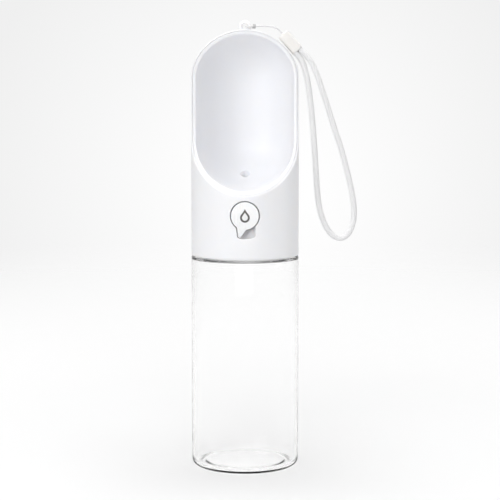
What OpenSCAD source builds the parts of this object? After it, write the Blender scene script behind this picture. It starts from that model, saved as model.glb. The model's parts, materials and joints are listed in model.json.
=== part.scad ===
// Dog travel water bottle. A clear bottle screws into a white head, whose open front is
// a drinking bowl. A button under the bowl pushes a spring valve that lets water into
// the bowl, and turns to lock. A wrist lanyard hangs from an eyelet on top.
// Millimetres, Z up, standing on Z = 0. The bowl and the button face -Y.

/* [Bottle] */
// Diameter of the bottle and of the head
body_d = 64; // [63.6:0.1:65]
// Height of the bottle's shoulder, where the head begins
shoulder_z = 125; // [100:1:170]
// Thickness of the bottle's wall
bottle_wall = 2; // [1.6:0.1:2.4]
// Radius of the rounded edge at the bottle's base
base_r = 4.5; // [4:0.1:6]
// Height of the hollow under the base
punt_h = 4; // [3:0.5:6]
// Outside diameter of the bottle's neck, without its thread
neck_d = 54.4; // [54:0.1:54.8]
// Height of the neck above the shoulder
neck_h = 9; // [8.5:0.1:9]

/* [Head] */
// Dark gap between the bottle's shoulder and the head's skirt
seam_gap = 1.2; // [0.8:0.1:1.6]
// Height of the head's top above the bottle's shoulder
head_h = 135; // [130:1:145]
// Height of the rounded top, above the straight sides
arch_h = 28.6; // [28:0.1:30]
// Radius of the rounded top at its sides
arch_side_r = 25; // [24:0.5:26]
// Thickness of the head's outer shell
shell_wall = 1.6; // [1.5:0.05:1.7]
// Height of the rim's lowest point above the bottle's shoulder
rim_low = 38.3; // [38:0.1:42]
// Radius of the bend between the rim's slanted and upright lengths
rim_bend_r = 40; // [34:1:44]

/* [Bowl] */
// Width of the white rim around the bowl
rim_w = 3; // [2.8:0.1:3.4]
// Thickness of the bowl's wall
bowl_wall = 1.3; // [1.1:0.1:1.3]
// Diameter of the hole that lets water into the bowl
drain_d = 5.9; // [5:0.1:6.4]
// Lean of that hole, up the bowl's back from its lowest point, in degrees
drain_lean = 42.5; // [41:0.5:44]

/* [Button] */
// Height of the button's centre above the bottle's shoulder
button_up = 27.3; // [27.2:0.1:27.5]
// Diameter of the button's round part
button_d = 16; // [15:0.5:16]
// Distance from the button's centre to the tip of its pointer
pointer_len = 12.9; // [12:0.1:12.9]
// Width of the pointer's tip
pointer_tip_w = 2.1; // [1.8:0.1:2.4]
// Gap around the button
button_gap = 0.7; // [0.5:0.1:0.7]
// Lean of the pointer to the left, where the button can be pressed, in degrees
pointer_lean = 14.7; // [12:0.1:18]
// Turn of the button from there to its locked place, in degrees
lock_turn = 38; // [30:1:40]
// How far the button goes in
press_travel = 2.5; // [2:0.1:2.6]

/* [Lanyard] */
// Thickness of the loop's cord
loop_cord_d = 3.5; // [3:0.1:3.8]
// Thickness of the string through the eyelet
string_d = 1.1; // [0.9:0.1:1.2]
// Length of the sleeve that joins them
sleeve_len = 12.5; // [12:0.1:13]

/* [Hidden] */
$fn = 96;

// A little extra on a cut, so that it passes the face it opens
past = 1;
body_r = body_d / 2;

// Bottle
neck_r = neck_d / 2;
neck_wall = 2;
mouth_r = neck_r - neck_wall;
neck_z = shoulder_z + neck_h;
shoulder_r = 1.5;
inner_shoulder_r = 3;
// The wall is a little thicker round the base's edge
inner_base_r = base_r - bottle_wall + 0.5;
floor_t = 2.6;
punt_t = 2.2;
punt_w = 22;
punt_r = (punt_w * punt_w + punt_h * punt_h) / (2 * punt_h);

// Seal between the bottle's neck and the head
seal_t = 1.4;
seal_overhang = 0.6;
seal_inset = 0.2;
seal_in_r = mouth_r - seal_overhang;
seal_out_r = neck_r - seal_inset;
deck_z = neck_z + seal_t;

// Head's outside: straight sides up to spring_z, then two side arcs and a crown arc
skirt_z = shoulder_z + seam_gap;
top_z = shoulder_z + head_h;
spring_z = top_z - arch_h;
side_x = body_r - arch_side_r;
crown_r = (side_x * side_x + arch_h * arch_h - arch_side_r * arch_side_r)
    / (2 * (arch_h - arch_side_r));
crown_z = top_z - crown_r;
wedge_reach = 9;
skirt_chamfer = 0.6;

// Rim: a 45 degree slope from the front, a bend, then upright above the head's middle
rim_z = shoulder_z + rim_low;
rim_lean = 45;
rim_bend_z = rim_z + body_r - rim_bend_r + rim_bend_r * sqrt(2);
rim_reach = 100;
bend_steps = 12;
arc_steps = 12;
flange_t = 1.2;
flange_inset = 0.8;
liner_gap = 0.1;

// Bowl: an upright round hollow with a ball-shaped bottom, drawn out to the front
bowl_r = body_r - rim_w;
bowl_low = 2.9;
bowl_z = rim_z + bowl_low + bowl_r;
drain_y = bowl_r * sin(drain_lean);
drain_z = bowl_z - bowl_r * cos(drain_lean);
drain_depth = 4;
spigot_r = 4.6;
spigot_h = 11;
duct_r = 2.4;

// Collar that takes the bottle's neck, and its deck
collar_r = body_r - shell_wall - liner_gap;
collar_z = skirt_z + 0.8;
collar_bore_r = neck_r + 1.4;
deck_t = 1.8;
deck_top_z = deck_z + deck_t;
port_y = -2;
port_r = 3.4;
snap_z = collar_z + 5;
snap_h = 2;
snap_depth = 0.4;
ledge_w = 2.4;
ledge_t = 1;

// Button and its well
button_z = shoulder_z + button_up;
button_r = button_d / 2;
face_r = 90;
face_y = -body_r - 0.4;
button_back_y = -28.8;
hub_r = 4.2;
hub_back_y = -27;
pointer_t = 1.4;
pointer_root = 6;
pointer_root_w = 6.8;
press_clearance = 0.3;
well_y = button_back_y + press_travel + press_clearance;
well_wall = 1.4;
well_back_y = -24;
pointer_back_y = face_y + pointer_len * pointer_len / (2 * face_r) + pointer_t;
fan_y = pointer_back_y + press_travel + press_clearance;
fan_wall = 1.2;
well_hole_r = 4.8;

// Drop outline inlaid in the button
drop_r = 2.8;
drop_point = 5;
drop_line_w = 1.1;
drop_down = 1;
drop_inlay = 0.5;

// Valve, along Y behind the button
barrel_r = 7.2;
barrel_end_y = 26;
front_bore_r = 4.6;
front_bore_y = -8;
chamber_r = 5.4;
seat_y = 6;
seat_t = 1.5;
seat_r = 3.2;
plug_y = 24;
plug_flange_t = 1.5;
plug_groove = 0.4;
gasket_t = 1;
foot_z = deck_top_z + gasket_t;
foot_r = 5.2;
foot_plate_t = 2;
screw_x = 9.5;
ear_r = 3;
riser_r = 4;
outlet_gasket_z = drain_z - 8.8;
housing_screw_r = 1;
housing_screw_len = 4;
screw_head_r = 2;
screw_head_t = 1.4;

// Plunger
stud_r = 2.5;
pivot_fit = 0.05;
stud_tip_y = -30.9;
stud_end_gap = 0.1;
piston_y = -22.8;
piston_end_y = -11;
piston_fit = 0.2;
ring_d = 1.2;
ring_y = [-19, -14.5];
stem_r = 2;
poppet_r = 4.4;
poppet_y = seat_y + seat_t;
poppet_t = 1.5;
holder_r = 4.6;
holder_t = 1.8;
holder_boss_r = 2.6;
holder_boss_t = 1.6;
poppet_screw_len = 9;

// Spring between the poppet's holder and the rear plug
spring_wire = 0.7;
spring_r = 3.5;
spring_turns = 6;
spring_y = poppet_y + poppet_t + holder_t;
coil_steps = 8;
coil_sides = 6;

// Eyelet on top, a ring that stands on a pad just behind the rim
eyelet_y = 4;
eyelet_up = 1.7;
eyelet_z = top_z + eyelet_up;
eyelet_ring_r = 2.65;
eyelet_wire_r = 1.15;
eyelet_pad_r = 4.5;
eyelet_pad_h = 0.4;

// Sleeve of the lanyard, from its upper end, leaning down to the right
sleeve_x = 22.9;
sleeve_drop = 3;
sleeve_lean = 48.5;
sleeve_w = 7.2;
sleeve_t = 5;
sleeve_r = 2;
string_apart = 0.7;
cord_sides = 8;

// The string's route from the sleeve round the eyelet's ring: X, Y from the eyelet's
// middle and Z above the head's top. It goes back the same way on the other side.
STRING_OUT = [
    [21, -0.7, -0.6], [18.5, -0.7, 0.9], [15.5, -0.7, 1.8], [12, -0.7, 2.1], [8, -0.8, 2.1],
    [5, -1.3, 1.9], [2.7, -1.9, 1.7], [1.9, -1.8, 1.7], [1.3, -1.4, 1.7], [0.9, -0.7, 1.7],
    [0.7, 0, 1.7]
];

// The loop's route from one exit of the sleeve to the other: X and Z below the head's top
LOOP_ROUTE = [
    [39, -18.5], [42.5, -26], [45.5, -34.5], [48.5, -43.5], [51.5, -53], [54.5, -62],
    [57.5, -71], [60, -80], [62.3, -89], [64.2, -98], [65.2, -106], [65, -113], [63.2, -119],
    [60.4, -122.7], [57, -124], [53.4, -122.8], [49.8, -119], [46.7, -113], [44.6, -106],
    [43.4, -98], [42.7, -89], [42.1, -80], [41.5, -71], [40.8, -62], [40, -53],
    [39, -43.5], [37.8, -34.5], [36.2, -26], [34.2, -19.5]
];

// ---- Shared shapes ----

// Half of a flat outline, right of the axis, ready to be turned round
module half() {
    intersection() {
        children();
        translate([0, -past])
            square([body_r + past, top_z + 2 * past]);
    }
}

// Outline of the head from the front, drawn in by inset, from the height low up
module arch(inset, low) {
    translate([inset - body_r, low])
        square([2 * (body_r - inset), spring_z - low]);
    for (side = [-1, 1])
        translate([side * side_x, spring_z])
            circle(arch_side_r - inset);
    intersection() {
        translate([0, crown_z])
            circle(crown_r - inset);
        translate([0, crown_z])
            polygon([
                [0, 0],
                wedge_reach * [side_x, spring_z - crown_z],
                wedge_reach * [-side_x, spring_z - crown_z]
            ]);
    }
}

// The head's outer form, drawn in by inset, from the height low up
module head_form(inset, low) {
    rotate_extrude()
        half() arch(inset, low);
}

// Everything in front of the rim's surface, or of one that lies back mm behind it
module in_front(back) {
    r = rim_bend_r + back;
    slope = [cos(rim_lean), sin(rim_lean)];
    bend = [for (i = [0:bend_steps])
        let (turn = rim_lean * (i / bend_steps - 1)) r * [cos(turn), sin(turn)]];
    rotate([90, 0, 90])
        translate([-rim_bend_r, rim_bend_z, -body_r - past])
            linear_extrude(2 * (body_r + past))
                polygon(concat(
                    [[-rim_reach, -rim_reach], bend[0] - rim_reach * slope],
                    bend,
                    [[r, rim_reach], [-rim_reach, rim_reach]]
                ));
}

// Outline of the bowl's hollow from the front, made wider by grow
module bowl_outline(grow) {
    translate([0, bowl_z])
        circle(bowl_r + grow);
    arch(rim_w - grow, bowl_z);
}

// The bowl's hollow: round at the back and drawn out to the front
module bowl_form(grow) {
    rotate_extrude()
        half() bowl_outline(grow);
    rotate([90, 0, 0])
        linear_extrude(body_r + past)
            bowl_outline(grow);
}

// A round bar along Y from y0 to y1, on the button's axis
module bar(r, y0, y1) {
    translate([0, y1, button_z])
        rotate([90, 0, 0])
            cylinder(h = y1 - y0, r = r);
}

// A flat outline drawn round the button's centre, seen from the front, from y0 to y1
module front_plate(y0, y1) {
    translate([0, y1, button_z])
        rotate([90, 0, 0])
            linear_extrude(y1 - y0)
                children();
}

// Points on an arc round a centre, from one angle to another
function arc(centre, r, from, to, steps) =
    [for (i = [0:steps]) let (a = from + (to - from) * i / steps) centre + r * [cos(a), sin(a)]];

function turned(p, a) = [p.x * cos(a) - p.y * sin(a), p.x * sin(a) + p.y * cos(a)];

// The button's pointer, hanging straight down, made wider by grow
module pointer(grow) {
    tip_w = pointer_tip_w / 2 + grow;
    root_w = pointer_root_w / 2 + grow;
    tip = [0, pointer_tip_w / 2 - pointer_len];
    polygon(concat(
        [[-root_w, -pointer_root], [root_w, -pointer_root]],
        arc(tip, tip_w, 0, -180, arc_steps)
    ));
}

// The fan that the pointer sweeps over as the button turns, made wider by grow.
// It closes behind the button's round part.
module pointer_fan(grow) {
    tip_w = pointer_tip_w / 2 + grow;
    root_w = pointer_root_w / 2 + grow;
    tip = [0, pointer_tip_w / 2 - pointer_len];
    left = -pointer_lean;
    right = lock_turn - pointer_lean;
    sweep = arc([0, 0], pointer_len + grow, 270 + left, 270 + right, arc_steps);
    polygon(concat(
        [turned([-root_w, -pointer_root], left)],
        arc(turned(tip, left), tip_w, 180 + left, 270 + left, arc_steps / 2),
        [for (i = [1:arc_steps - 1]) sweep[i]],
        arc(turned(tip, right), tip_w, 270 + right, 360 + right, arc_steps / 2),
        [turned([root_w, -pointer_root], right)]
    ));
}

// The button's gently domed front, turned round its axis: from radius r0 to r1, t thick
module dome(r0, r1, t) {
    sag = r1 * r1 / face_r;
    translate([0, face_y, button_z])
        rotate([90, 0, 0])
            rotate_extrude()
                difference() {
                    intersection() {
                        translate([0, -face_r])
                            circle(face_r, $fn = 360);
                        translate([r0, -t - sag])
                            square([r1 - r0, t + sag + past]);
                    }
                    translate([0, -face_r - t])
                        circle(face_r, $fn = 360);
                }
}

function unit(v) = v / norm(v);

// Direction of a route at its point i
function heading(route, i) =
    unit(route[min(i + 1, len(route) - 1)] - route[max(i - 1, 0)]);

// A sideways direction at each point, carried along the route without twist
function sideways(route, i = 0, last = [0, 1, 0]) =
    i == len(route) ? [] :
    let (along = heading(route, i), side = unit(last - (last * along) * along))
    concat([side], sideways(route, i + 1, side));

// A cord of the given thickness along a route
module cord(route, d, sides) {
    side = sideways(route);
    last = len(route) - 1;
    points = [
        for (i = [0:last])
            let (up = cross(heading(route, i), side[i]))
                for (k = [0:sides - 1])
                    route[i] + d / 2 * (cos(360 * k / sides) * side[i] + sin(360 * k / sides) * up)
    ];
    wall = [
        for (i = [0:last - 1], k = [0:sides - 1])
            let (a = i * sides + k, b = i * sides + (k + 1) % sides)
                each [[a, b + sides, b], [a, a + sides, b + sides]]
    ];
    caps = [[for (k = [0:sides - 1]) k], [for (k = [sides - 1:-1:0]) last * sides + k]];
    polyhedron(points, concat(wall, caps));
}

// ---- Bottle ----

module bottle_outside() {
    square([body_r - base_r, shoulder_z]);
    translate([0, base_r])
        square([body_r, shoulder_z - shoulder_r - base_r]);
    translate([0, shoulder_z - 2 * shoulder_r])
        square([body_r - shoulder_r, 2 * shoulder_r]);
    translate([body_r - base_r, base_r])
        circle(base_r);
    translate([body_r - shoulder_r, shoulder_z - shoulder_r])
        circle(shoulder_r);
    square([neck_r, neck_z]);
}

module bottle_inside() {
    r = body_r - bottle_wall;
    ceiling = shoulder_z - bottle_wall;
    translate([0, floor_t])
        square([r - inner_base_r, ceiling - floor_t]);
    translate([0, floor_t + inner_base_r])
        square([r, ceiling - inner_shoulder_r - floor_t - inner_base_r]);
    translate([r - inner_base_r, floor_t + inner_base_r])
        circle(inner_base_r);
    translate([r - inner_shoulder_r, ceiling - inner_shoulder_r])
        circle(inner_shoulder_r);
    translate([0, floor_t])
        square([mouth_r, neck_z]);
}

module bottle() {
    color("lightcyan", 0.4)
        rotate_extrude()
            half() difference() {
                bottle_outside();
                difference() {
                    bottle_inside();
                    translate([0, punt_h - punt_r])
                        circle(punt_r + punt_t);
                }
                translate([0, punt_h - punt_r])
                    circle(punt_r);
            }
}

module neck_seal() {
    color("silver")
        translate([0, 0, neck_z])
            rotate_extrude()
                translate([seal_in_r, 0])
                    square([seal_out_r - seal_in_r, seal_t]);
}

// ---- Head ----

// The well that the button goes down into, without its hollow
module button_well() {
    intersection() {
        head_form(shell_wall / 2, skirt_z);
        union() {
            bar(button_r + button_gap + well_wall, -body_r, well_back_y);
            front_plate(-body_r, fan_y + fan_wall)
                pointer_fan(button_gap + fan_wall);
        }
    }
}

module button_opening() {
    bar(button_r + button_gap, -body_r - past, well_y);
    bar(well_hole_r, -body_r, well_back_y + past);
    front_plate(-body_r - past, fan_y)
        pointer_fan(button_gap);
}

// The collar's bead and the groove that it snaps into, grown by fit
module snap_bead(fit) {
    rotate_extrude()
        translate([collar_r - past, snap_z])
            polygon([
                [0, -fit], [past, -fit], [past + snap_depth + fit, snap_h / 2],
                [past, snap_h + fit], [0, snap_h + fit]
            ]);
}

module eyelet() {
    translate([0, eyelet_y, eyelet_z])
        rotate([90, 0, 0])
            rotate_extrude()
                translate([eyelet_ring_r, 0])
                    circle(eyelet_wire_r);
    translate([0, eyelet_y, top_z - shell_wall])
        cylinder(h = shell_wall + eyelet_pad_h, r = eyelet_pad_r);
}

module head_shell() {
    color("whitesmoke")
        difference() {
            union() {
                difference() {
                    union() {
                        head_form(0, skirt_z);
                        eyelet();
                    }
                    head_form(shell_wall, skirt_z - past);
                }
                button_well();
                translate([0, 0, deck_top_z])
                    rotate_extrude()
                        translate([body_r - shell_wall - ledge_w, 0])
                            square([ledge_w + shell_wall / 2, ledge_t]);
            }
            in_front(0);
            intersection() {
                head_form(flange_inset, skirt_z);
                in_front(flange_t);
            }
            button_opening();
            snap_bead(liner_gap / 2);
            rotate_extrude()
                translate([body_r, skirt_z])
                    rotate(45)
                        square(skirt_chamfer * sqrt(2), center = true);
        }
}

module drinking_bowl() {
    color("aliceblue")
        difference() {
            union() {
                intersection() {
                    head_form(flange_inset, skirt_z);
                    in_front(flange_t);
                }
                intersection() {
                    bowl_form(bowl_wall);
                    head_form(shell_wall + liner_gap, skirt_z);
                }
                intersection() {
                    translate([0, drain_y, outlet_gasket_z + gasket_t])
                        cylinder(h = spigot_h, r = spigot_r);
                    head_form(shell_wall + liner_gap, skirt_z);
                }
            }
            in_front(0);
            bowl_form(0);
            translate([0, drain_y, drain_z])
                rotate([180 + drain_lean, 0, 0])
                    translate([0, 0, -past])
                        cylinder(h = drain_depth + past, r = drain_d / 2);
            translate([0, drain_y, outlet_gasket_z])
                cylinder(h = drain_z - outlet_gasket_z - past, r = duct_r);
        }
}

module threaded_collar() {
    color("gainsboro")
        difference() {
            union() {
                translate([0, 0, collar_z])
                    cylinder(h = deck_top_z - collar_z, r = collar_r);
                snap_bead(0);
                for (side = [-1, 1])
                    translate([side * screw_x, port_y, deck_z])
                        cylinder(h = deck_t + gasket_t, r = ear_r);
            }
            translate([0, 0, collar_z - past])
                cylinder(h = deck_z - collar_z + past, r = collar_bore_r);
            translate([0, port_y, deck_z - past])
                cylinder(h = deck_t + 2 * past, r = port_r);
            for (side = [-1, 1])
                translate([side * screw_x, port_y, foot_z + foot_plate_t - housing_screw_len])
                    cylinder(h = housing_screw_len, r = housing_screw_r);
        }
}

// ---- Valve ----

module inlet_gasket() {
    color("silver")
        translate([0, port_y, deck_top_z])
            difference() {
                cylinder(h = gasket_t, r = foot_r);
                translate([0, 0, -past])
                    cylinder(h = gasket_t + 2 * past, r = port_r);
            }
}

module housing_foot() {
    translate([0, port_y, foot_z]) {
        cylinder(h = button_z - foot_z, r = foot_r);
        for (side = [-1, 1])
            translate([side * screw_x, 0, 0])
                cylinder(h = foot_plate_t, r = ear_r);
        translate([-screw_x, -ear_r, 0])
            cube([2 * screw_x, 2 * ear_r, foot_plate_t]);
    }
}

module valve_housing() {
    color("lightgrey")
        difference() {
            union() {
                bar(barrel_r, well_back_y, barrel_end_y);
                housing_foot();
                translate([0, drain_y, button_z])
                    cylinder(h = outlet_gasket_z - button_z, r = riser_r);
            }
            bar(front_bore_r, well_back_y - past, front_bore_y + past);
            bar(chamber_r, front_bore_y, seat_y);
            bar(seat_r, seat_y - past, seat_y + seat_t + past);
            bar(chamber_r, seat_y + seat_t, barrel_end_y + past);
            translate([0, port_y, foot_z - past])
                cylinder(h = button_z - foot_z, r = port_r);
            translate([0, drain_y, button_z])
                cylinder(h = outlet_gasket_z - button_z + past, r = duct_r);
            for (side = [-1, 1])
                translate([side * screw_x, port_y, foot_z - past])
                    cylinder(h = foot_plate_t + 2 * past, r = housing_screw_r);
        }
}

module housing_screws() {
    color("slategrey")
        for (side = [-1, 1])
            translate([side * screw_x, port_y, foot_z + foot_plate_t]) {
                cylinder(h = screw_head_t, r = screw_head_r);
                translate([0, 0, -housing_screw_len])
                    cylinder(h = housing_screw_len, r = housing_screw_r);
            }
}

module outlet_gasket() {
    color("silver")
        translate([0, drain_y, outlet_gasket_z])
            difference() {
                cylinder(h = gasket_t, r = riser_r);
                translate([0, 0, -past])
                    cylinder(h = gasket_t + 2 * past, r = duct_r);
            }
}

module rear_plug() {
    color("lightgrey")
        difference() {
            union() {
                bar(chamber_r, plug_y, barrel_end_y);
                bar(barrel_r, barrel_end_y, barrel_end_y + plug_flange_t);
            }
            difference() {
                bar(chamber_r + past, plug_y + plug_groove, plug_y + plug_groove + ring_d);
                bar(chamber_r - ring_d, plug_y, barrel_end_y);
            }
        }
}

// A rubber ring round the button's axis, inside a bore of radius r
module o_ring(y, r) {
    translate([0, y, button_z])
        rotate([90, 0, 0])
            rotate_extrude()
                translate([r - ring_d / 2, 0])
                    circle(ring_d / 2);
}

module rear_plug_seal() {
    color("dimgrey")
        o_ring(plug_y + plug_groove + ring_d / 2, chamber_r);
}

module valve_plunger() {
    piston_r = front_bore_r - piston_fit;
    color("white")
        difference() {
            union() {
                bar(stud_r, stud_tip_y, piston_y);
                bar(piston_r, piston_y, piston_end_y);
                bar(stem_r, piston_end_y, poppet_y + poppet_t);
            }
            for (y = ring_y)
                difference() {
                    bar(piston_r + past, y - ring_d / 2, y + ring_d / 2);
                    bar(front_bore_r - pivot_fit - ring_d, y - ring_d, y + ring_d);
                }
            bar(housing_screw_r, poppet_y + poppet_t - poppet_screw_len + holder_t + holder_boss_t,
                poppet_y + poppet_t + past);
        }
}

module plunger_seals() {
    color("dimgrey")
        for (y = ring_y)
            o_ring(y, front_bore_r - pivot_fit);
}

module poppet_seal() {
    color("dimgrey")
        difference() {
            bar(poppet_r, poppet_y, poppet_y + poppet_t);
            bar(stem_r, poppet_y - past, poppet_y + poppet_t + past);
        }
}

module poppet_holder() {
    front = poppet_y + poppet_t;
    color("white")
        difference() {
            union() {
                bar(holder_r, front, front + holder_t);
                bar(holder_boss_r, front, front + holder_t + holder_boss_t);
            }
            bar(housing_screw_r, front - past, front + holder_t + holder_boss_t + past);
        }
}

module poppet_screw() {
    seat = poppet_y + poppet_t + holder_t + holder_boss_t;
    color("slategrey") {
        bar(screw_head_r, seat, seat + screw_head_t);
        bar(housing_screw_r, seat - poppet_screw_len, seat);
    }
}

module valve_spring() {
    travel = plug_y - spring_y - spring_wire;
    steps = coil_steps * spring_turns;
    route = [
        for (i = [0:steps])
            [
                spring_r * cos(360 * i / coil_steps),
                spring_y + spring_wire / 2 + travel * i / steps,
                button_z + spring_r * sin(360 * i / coil_steps)
            ]
    ];
    apart = coil_steps - 2;
    gap = min([
        for (i = [0:steps - apart], j = [i + apart:1:steps])
            norm(route[i] - route[j]) - spring_wire
    ]);
    echo(least_gap_between_the_springs_turns = gap);
    color("slategrey")
        cord(route, spring_wire, coil_sides);
}

// ---- Button ----

module button() {
    color("white")
        difference() {
            union() {
                translate([0, button_back_y, button_z])
                    rotate([90, 0, 0])
                        rotate_extrude()
                            intersection() {
                                translate([0, button_back_y - face_y - face_r])
                                    circle(face_r, $fn = 360);
                                square([button_r, body_r]);
                            }
                bar(hub_r, button_back_y - past, hub_back_y);
                intersection() {
                    front_plate(face_y - past, button_back_y)
                        rotate(-pointer_lean)
                            pointer(0);
                    dome(pointer_root / 2, pointer_len + past, pointer_t);
                }
            }
            bar(stud_r + pivot_fit, stud_tip_y - stud_end_gap, hub_back_y + past);
            front_plate(face_y - past, face_y + drop_inlay)
                drop_line();
        }
}

// A drop: a circle with a pointed top
module drop(shrink) {
    r = drop_r - shrink;
    lean = asin(drop_r / drop_point);
    polygon(concat([[0, r / sin(lean)]], arc([0, 0], r, 180 - lean, 360 + lean, 2 * arc_steps)));
}

module drop_line() {
    translate([0, -drop_down])
        difference() {
            drop(0);
            drop(drop_line_w);
        }
}

module drop_mark() {
    color("grey")
        intersection() {
            front_plate(face_y - past, face_y + drop_inlay)
                drop_line();
            dome(0, button_r, 2 * drop_inlay);
        }
}

// ---- Lanyard ----

sleeve_top = [sleeve_x, eyelet_y, top_z - sleeve_drop];
sleeve_way = [cos(sleeve_lean), 0, -sin(sleeve_lean)];
sleeve_across = [sin(sleeve_lean), 0, cos(sleeve_lean)];
sleeve_end = sleeve_top + sleeve_len * sleeve_way;

module lanyard_string() {
    out = [for (p = STRING_OUT) [p.x, eyelet_y + p.y, top_z + p.z]];
    back = [for (i = [len(STRING_OUT) - 2:-1:0])
        let (p = STRING_OUT[i]) [p.x, eyelet_y - p.y, top_z + p.z]];
    start = sleeve_top - [0, string_apart, 0];
    finish = sleeve_top + [0, string_apart, 0];
    color("white")
        cord(concat([start], out, back, [finish]), string_d, cord_sides);
}

module lanyard_sleeve() {
    w = sleeve_w / 2 - sleeve_r;
    t = sleeve_t / 2 - sleeve_r;
    color("linen")
        translate(sleeve_top)
            rotate([0, 90 + sleeve_lean, 0])
                linear_extrude(sleeve_len) {
                    square([sleeve_w, 2 * t], center = true);
                    square([2 * w, sleeve_t], center = true);
                    for (x = [-w, w], y = [-t, t])
                        translate([x, y])
                            circle(sleeve_r);
                }
}

module lanyard_loop() {
    exits = [for (side = [1, -1]) sleeve_end + side * loop_cord_d / 2 * sleeve_across];
    hand = [for (p = LOOP_ROUTE) [p.x, eyelet_y, top_z + p.y]];
    straight = loop_cord_d * sleeve_way;
    color("white")
        cord(concat([exits[0], exits[0] + straight], hand, [exits[1] + straight, exits[1]]),
            loop_cord_d, cord_sides);
}

bottle();
neck_seal();
head_shell();
drinking_bowl();
threaded_collar();
inlet_gasket();
valve_housing();
housing_screws();
outlet_gasket();
rear_plug();
rear_plug_seal();
valve_plunger();
plunger_seals();
poppet_seal();
poppet_holder();
poppet_screw();
valve_spring();
button();
drop_mark();
lanyard_string();
lanyard_sleeve();
lanyard_loop();
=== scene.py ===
"""The looks of a dog travel water bottle: a clear bottle under a white head, whose open
front is a drinking bowl, with a push button that turns to lock and a wrist lanyard."""

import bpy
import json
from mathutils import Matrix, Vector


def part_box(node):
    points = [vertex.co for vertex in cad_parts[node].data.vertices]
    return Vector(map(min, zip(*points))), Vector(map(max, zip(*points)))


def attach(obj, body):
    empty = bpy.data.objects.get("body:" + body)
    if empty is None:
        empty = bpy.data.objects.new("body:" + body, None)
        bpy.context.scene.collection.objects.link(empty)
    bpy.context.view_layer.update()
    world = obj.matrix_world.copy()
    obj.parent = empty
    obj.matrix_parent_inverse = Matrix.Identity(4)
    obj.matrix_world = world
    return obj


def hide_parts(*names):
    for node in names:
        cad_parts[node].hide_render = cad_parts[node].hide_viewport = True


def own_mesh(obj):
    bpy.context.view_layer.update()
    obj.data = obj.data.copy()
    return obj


bl_info = {
    "name": "Travel Water Bottle",
    "version": (1, 0, 0),
    "blender": (4, 5, 0),
    "location": "View3D > Sidebar > Bottle",
    "description": "Builds the visible pieces of a dog travel water bottle round its frame",
    "category": "Add Mesh",
}

import json
import math

import bmesh
import bpy
from bpy.props import FloatProperty, FloatVectorProperty, IntProperty, PointerProperty
from bpy.types import Operator, Panel, PropertyGroup
from mathutils import Matrix, Vector

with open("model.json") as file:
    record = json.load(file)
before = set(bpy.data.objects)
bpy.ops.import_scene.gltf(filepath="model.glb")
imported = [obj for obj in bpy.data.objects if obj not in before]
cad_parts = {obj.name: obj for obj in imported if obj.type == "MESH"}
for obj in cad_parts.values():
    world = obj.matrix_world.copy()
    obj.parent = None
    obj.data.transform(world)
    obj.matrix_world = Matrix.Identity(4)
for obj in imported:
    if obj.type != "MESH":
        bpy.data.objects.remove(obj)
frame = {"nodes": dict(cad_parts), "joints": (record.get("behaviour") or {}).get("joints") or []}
JOINTS = {joint["name"]: joint for joint in frame["joints"]}
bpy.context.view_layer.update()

# Places that come from the frame, in metres
BODY_RADIUS = round(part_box("bottle")[1].x, 4)
NECK_TOP = round(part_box("neck_seal")[0].z, 4)
SKIRT_BOTTOM = round(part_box("head_shell")[0].z, 4)
BUTTON_HEIGHT = JOINTS["lock_turn"]["pos_m"][2]
EYELET = Vector(JOINTS["lanyard_swing"]["pos_m"])
BUTTON_FACE = round(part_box("button")[0].y, 5)

# Turns of the screw thread, and the widths of its ridge at its root and its crest
THREAD_TURNS = 1.25
THREAD_ROOT, THREAD_CREST = 0.0019, 0.0009
# Clearance of the button's round body in its bore, beyond the gap round its cap
BUTTON_EASE = 0.00005
# Steps by which the rim's two edges are measured, and the depth that shows which way is out
RIM_SAMPLES = 600
RIM_PROBE = 0.002
SHARP = math.radians(30)


# ---------------------------------------------------------------------------
# Properties
# ---------------------------------------------------------------------------


def length(default, name, description):
    """A length in metres that a user may change."""
    return FloatProperty(
        name=name, description=description, default=default, min=0, precision=5, unit="LENGTH"
    )


def colour(default, name, description):
    """A linear colour that a user may change."""
    return FloatVectorProperty(
        name=name, description=description, default=default, size=3, min=0, max=1, subtype="COLOR"
    )


class BottleSizes(PropertyGroup):
    shoulder: length(0.1262, "Shoulder height", "Height of the bottle's shoulder")
    wall: length(0.0015, "Wall", "Thickness of the bottle's wall")
    base_round: length(0.0033, "Base rounding", "Radius of the rounded edge at the base")
    punt_height: length(0.003, "Punt height", "Height of the hollow under the base")
    punt_radius: length(0.0276, "Punt radius", "Radius of the hollow under the base")
    neck_radius: length(0.0272, "Neck radius", "Outer radius of the neck without its thread")
    thread_lead: length(0.004, "Thread lead", "Rise of the thread in one turn")
    thread_depth: length(0.0011, "Thread depth", "Height of the thread above the neck")


class HeadSizes(PropertyGroup):
    bottom: length(SKIRT_BOTTOM + 0.0005, "Bottom", "Height of the casing's lower edge")
    top: length(EYELET.z - 0.0017, "Top", "Height of the head's top")
    arch: length(0.0286, "Arch height", "Height of the rounded top above the straight sides")
    side_round: length(0.025, "Side rounding", "Radius of the rounded top at its sides")
    wall: length(0.0016, "Wall", "Thickness of the head's casing")
    rim_low: length(0.1633, "Rim's lowest point", "Height of the rim's lowest point")
    rim_bend: length(0.04, "Rim bend", "Radius of the bend in the rim")
    rim_width: length(0.003, "Rim width", "Width of the rim beside the bowl")
    rim_round: length(0.001, "Rim rounding", "Rounding of the rim's outer edge")
    lip_round: length(0.0011, "Lip rounding", "Rounding of the rim's inner edge")
    bowl_wall: length(0.0013, "Bowl wall", "Thickness of the bowl's wall")
    bowl_low: length(0.1662, "Bowl's lowest point", "Height of the bowl's lowest point")
    drain_radius: length(0.0027, "Drain radius", "Radius of the water outlet")
    drain_lean: FloatProperty(
        name="Drain lean", description="Lean of the water outlet up the bowl's back",
        default=math.radians(42.5), subtype="ANGLE",
    )


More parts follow.
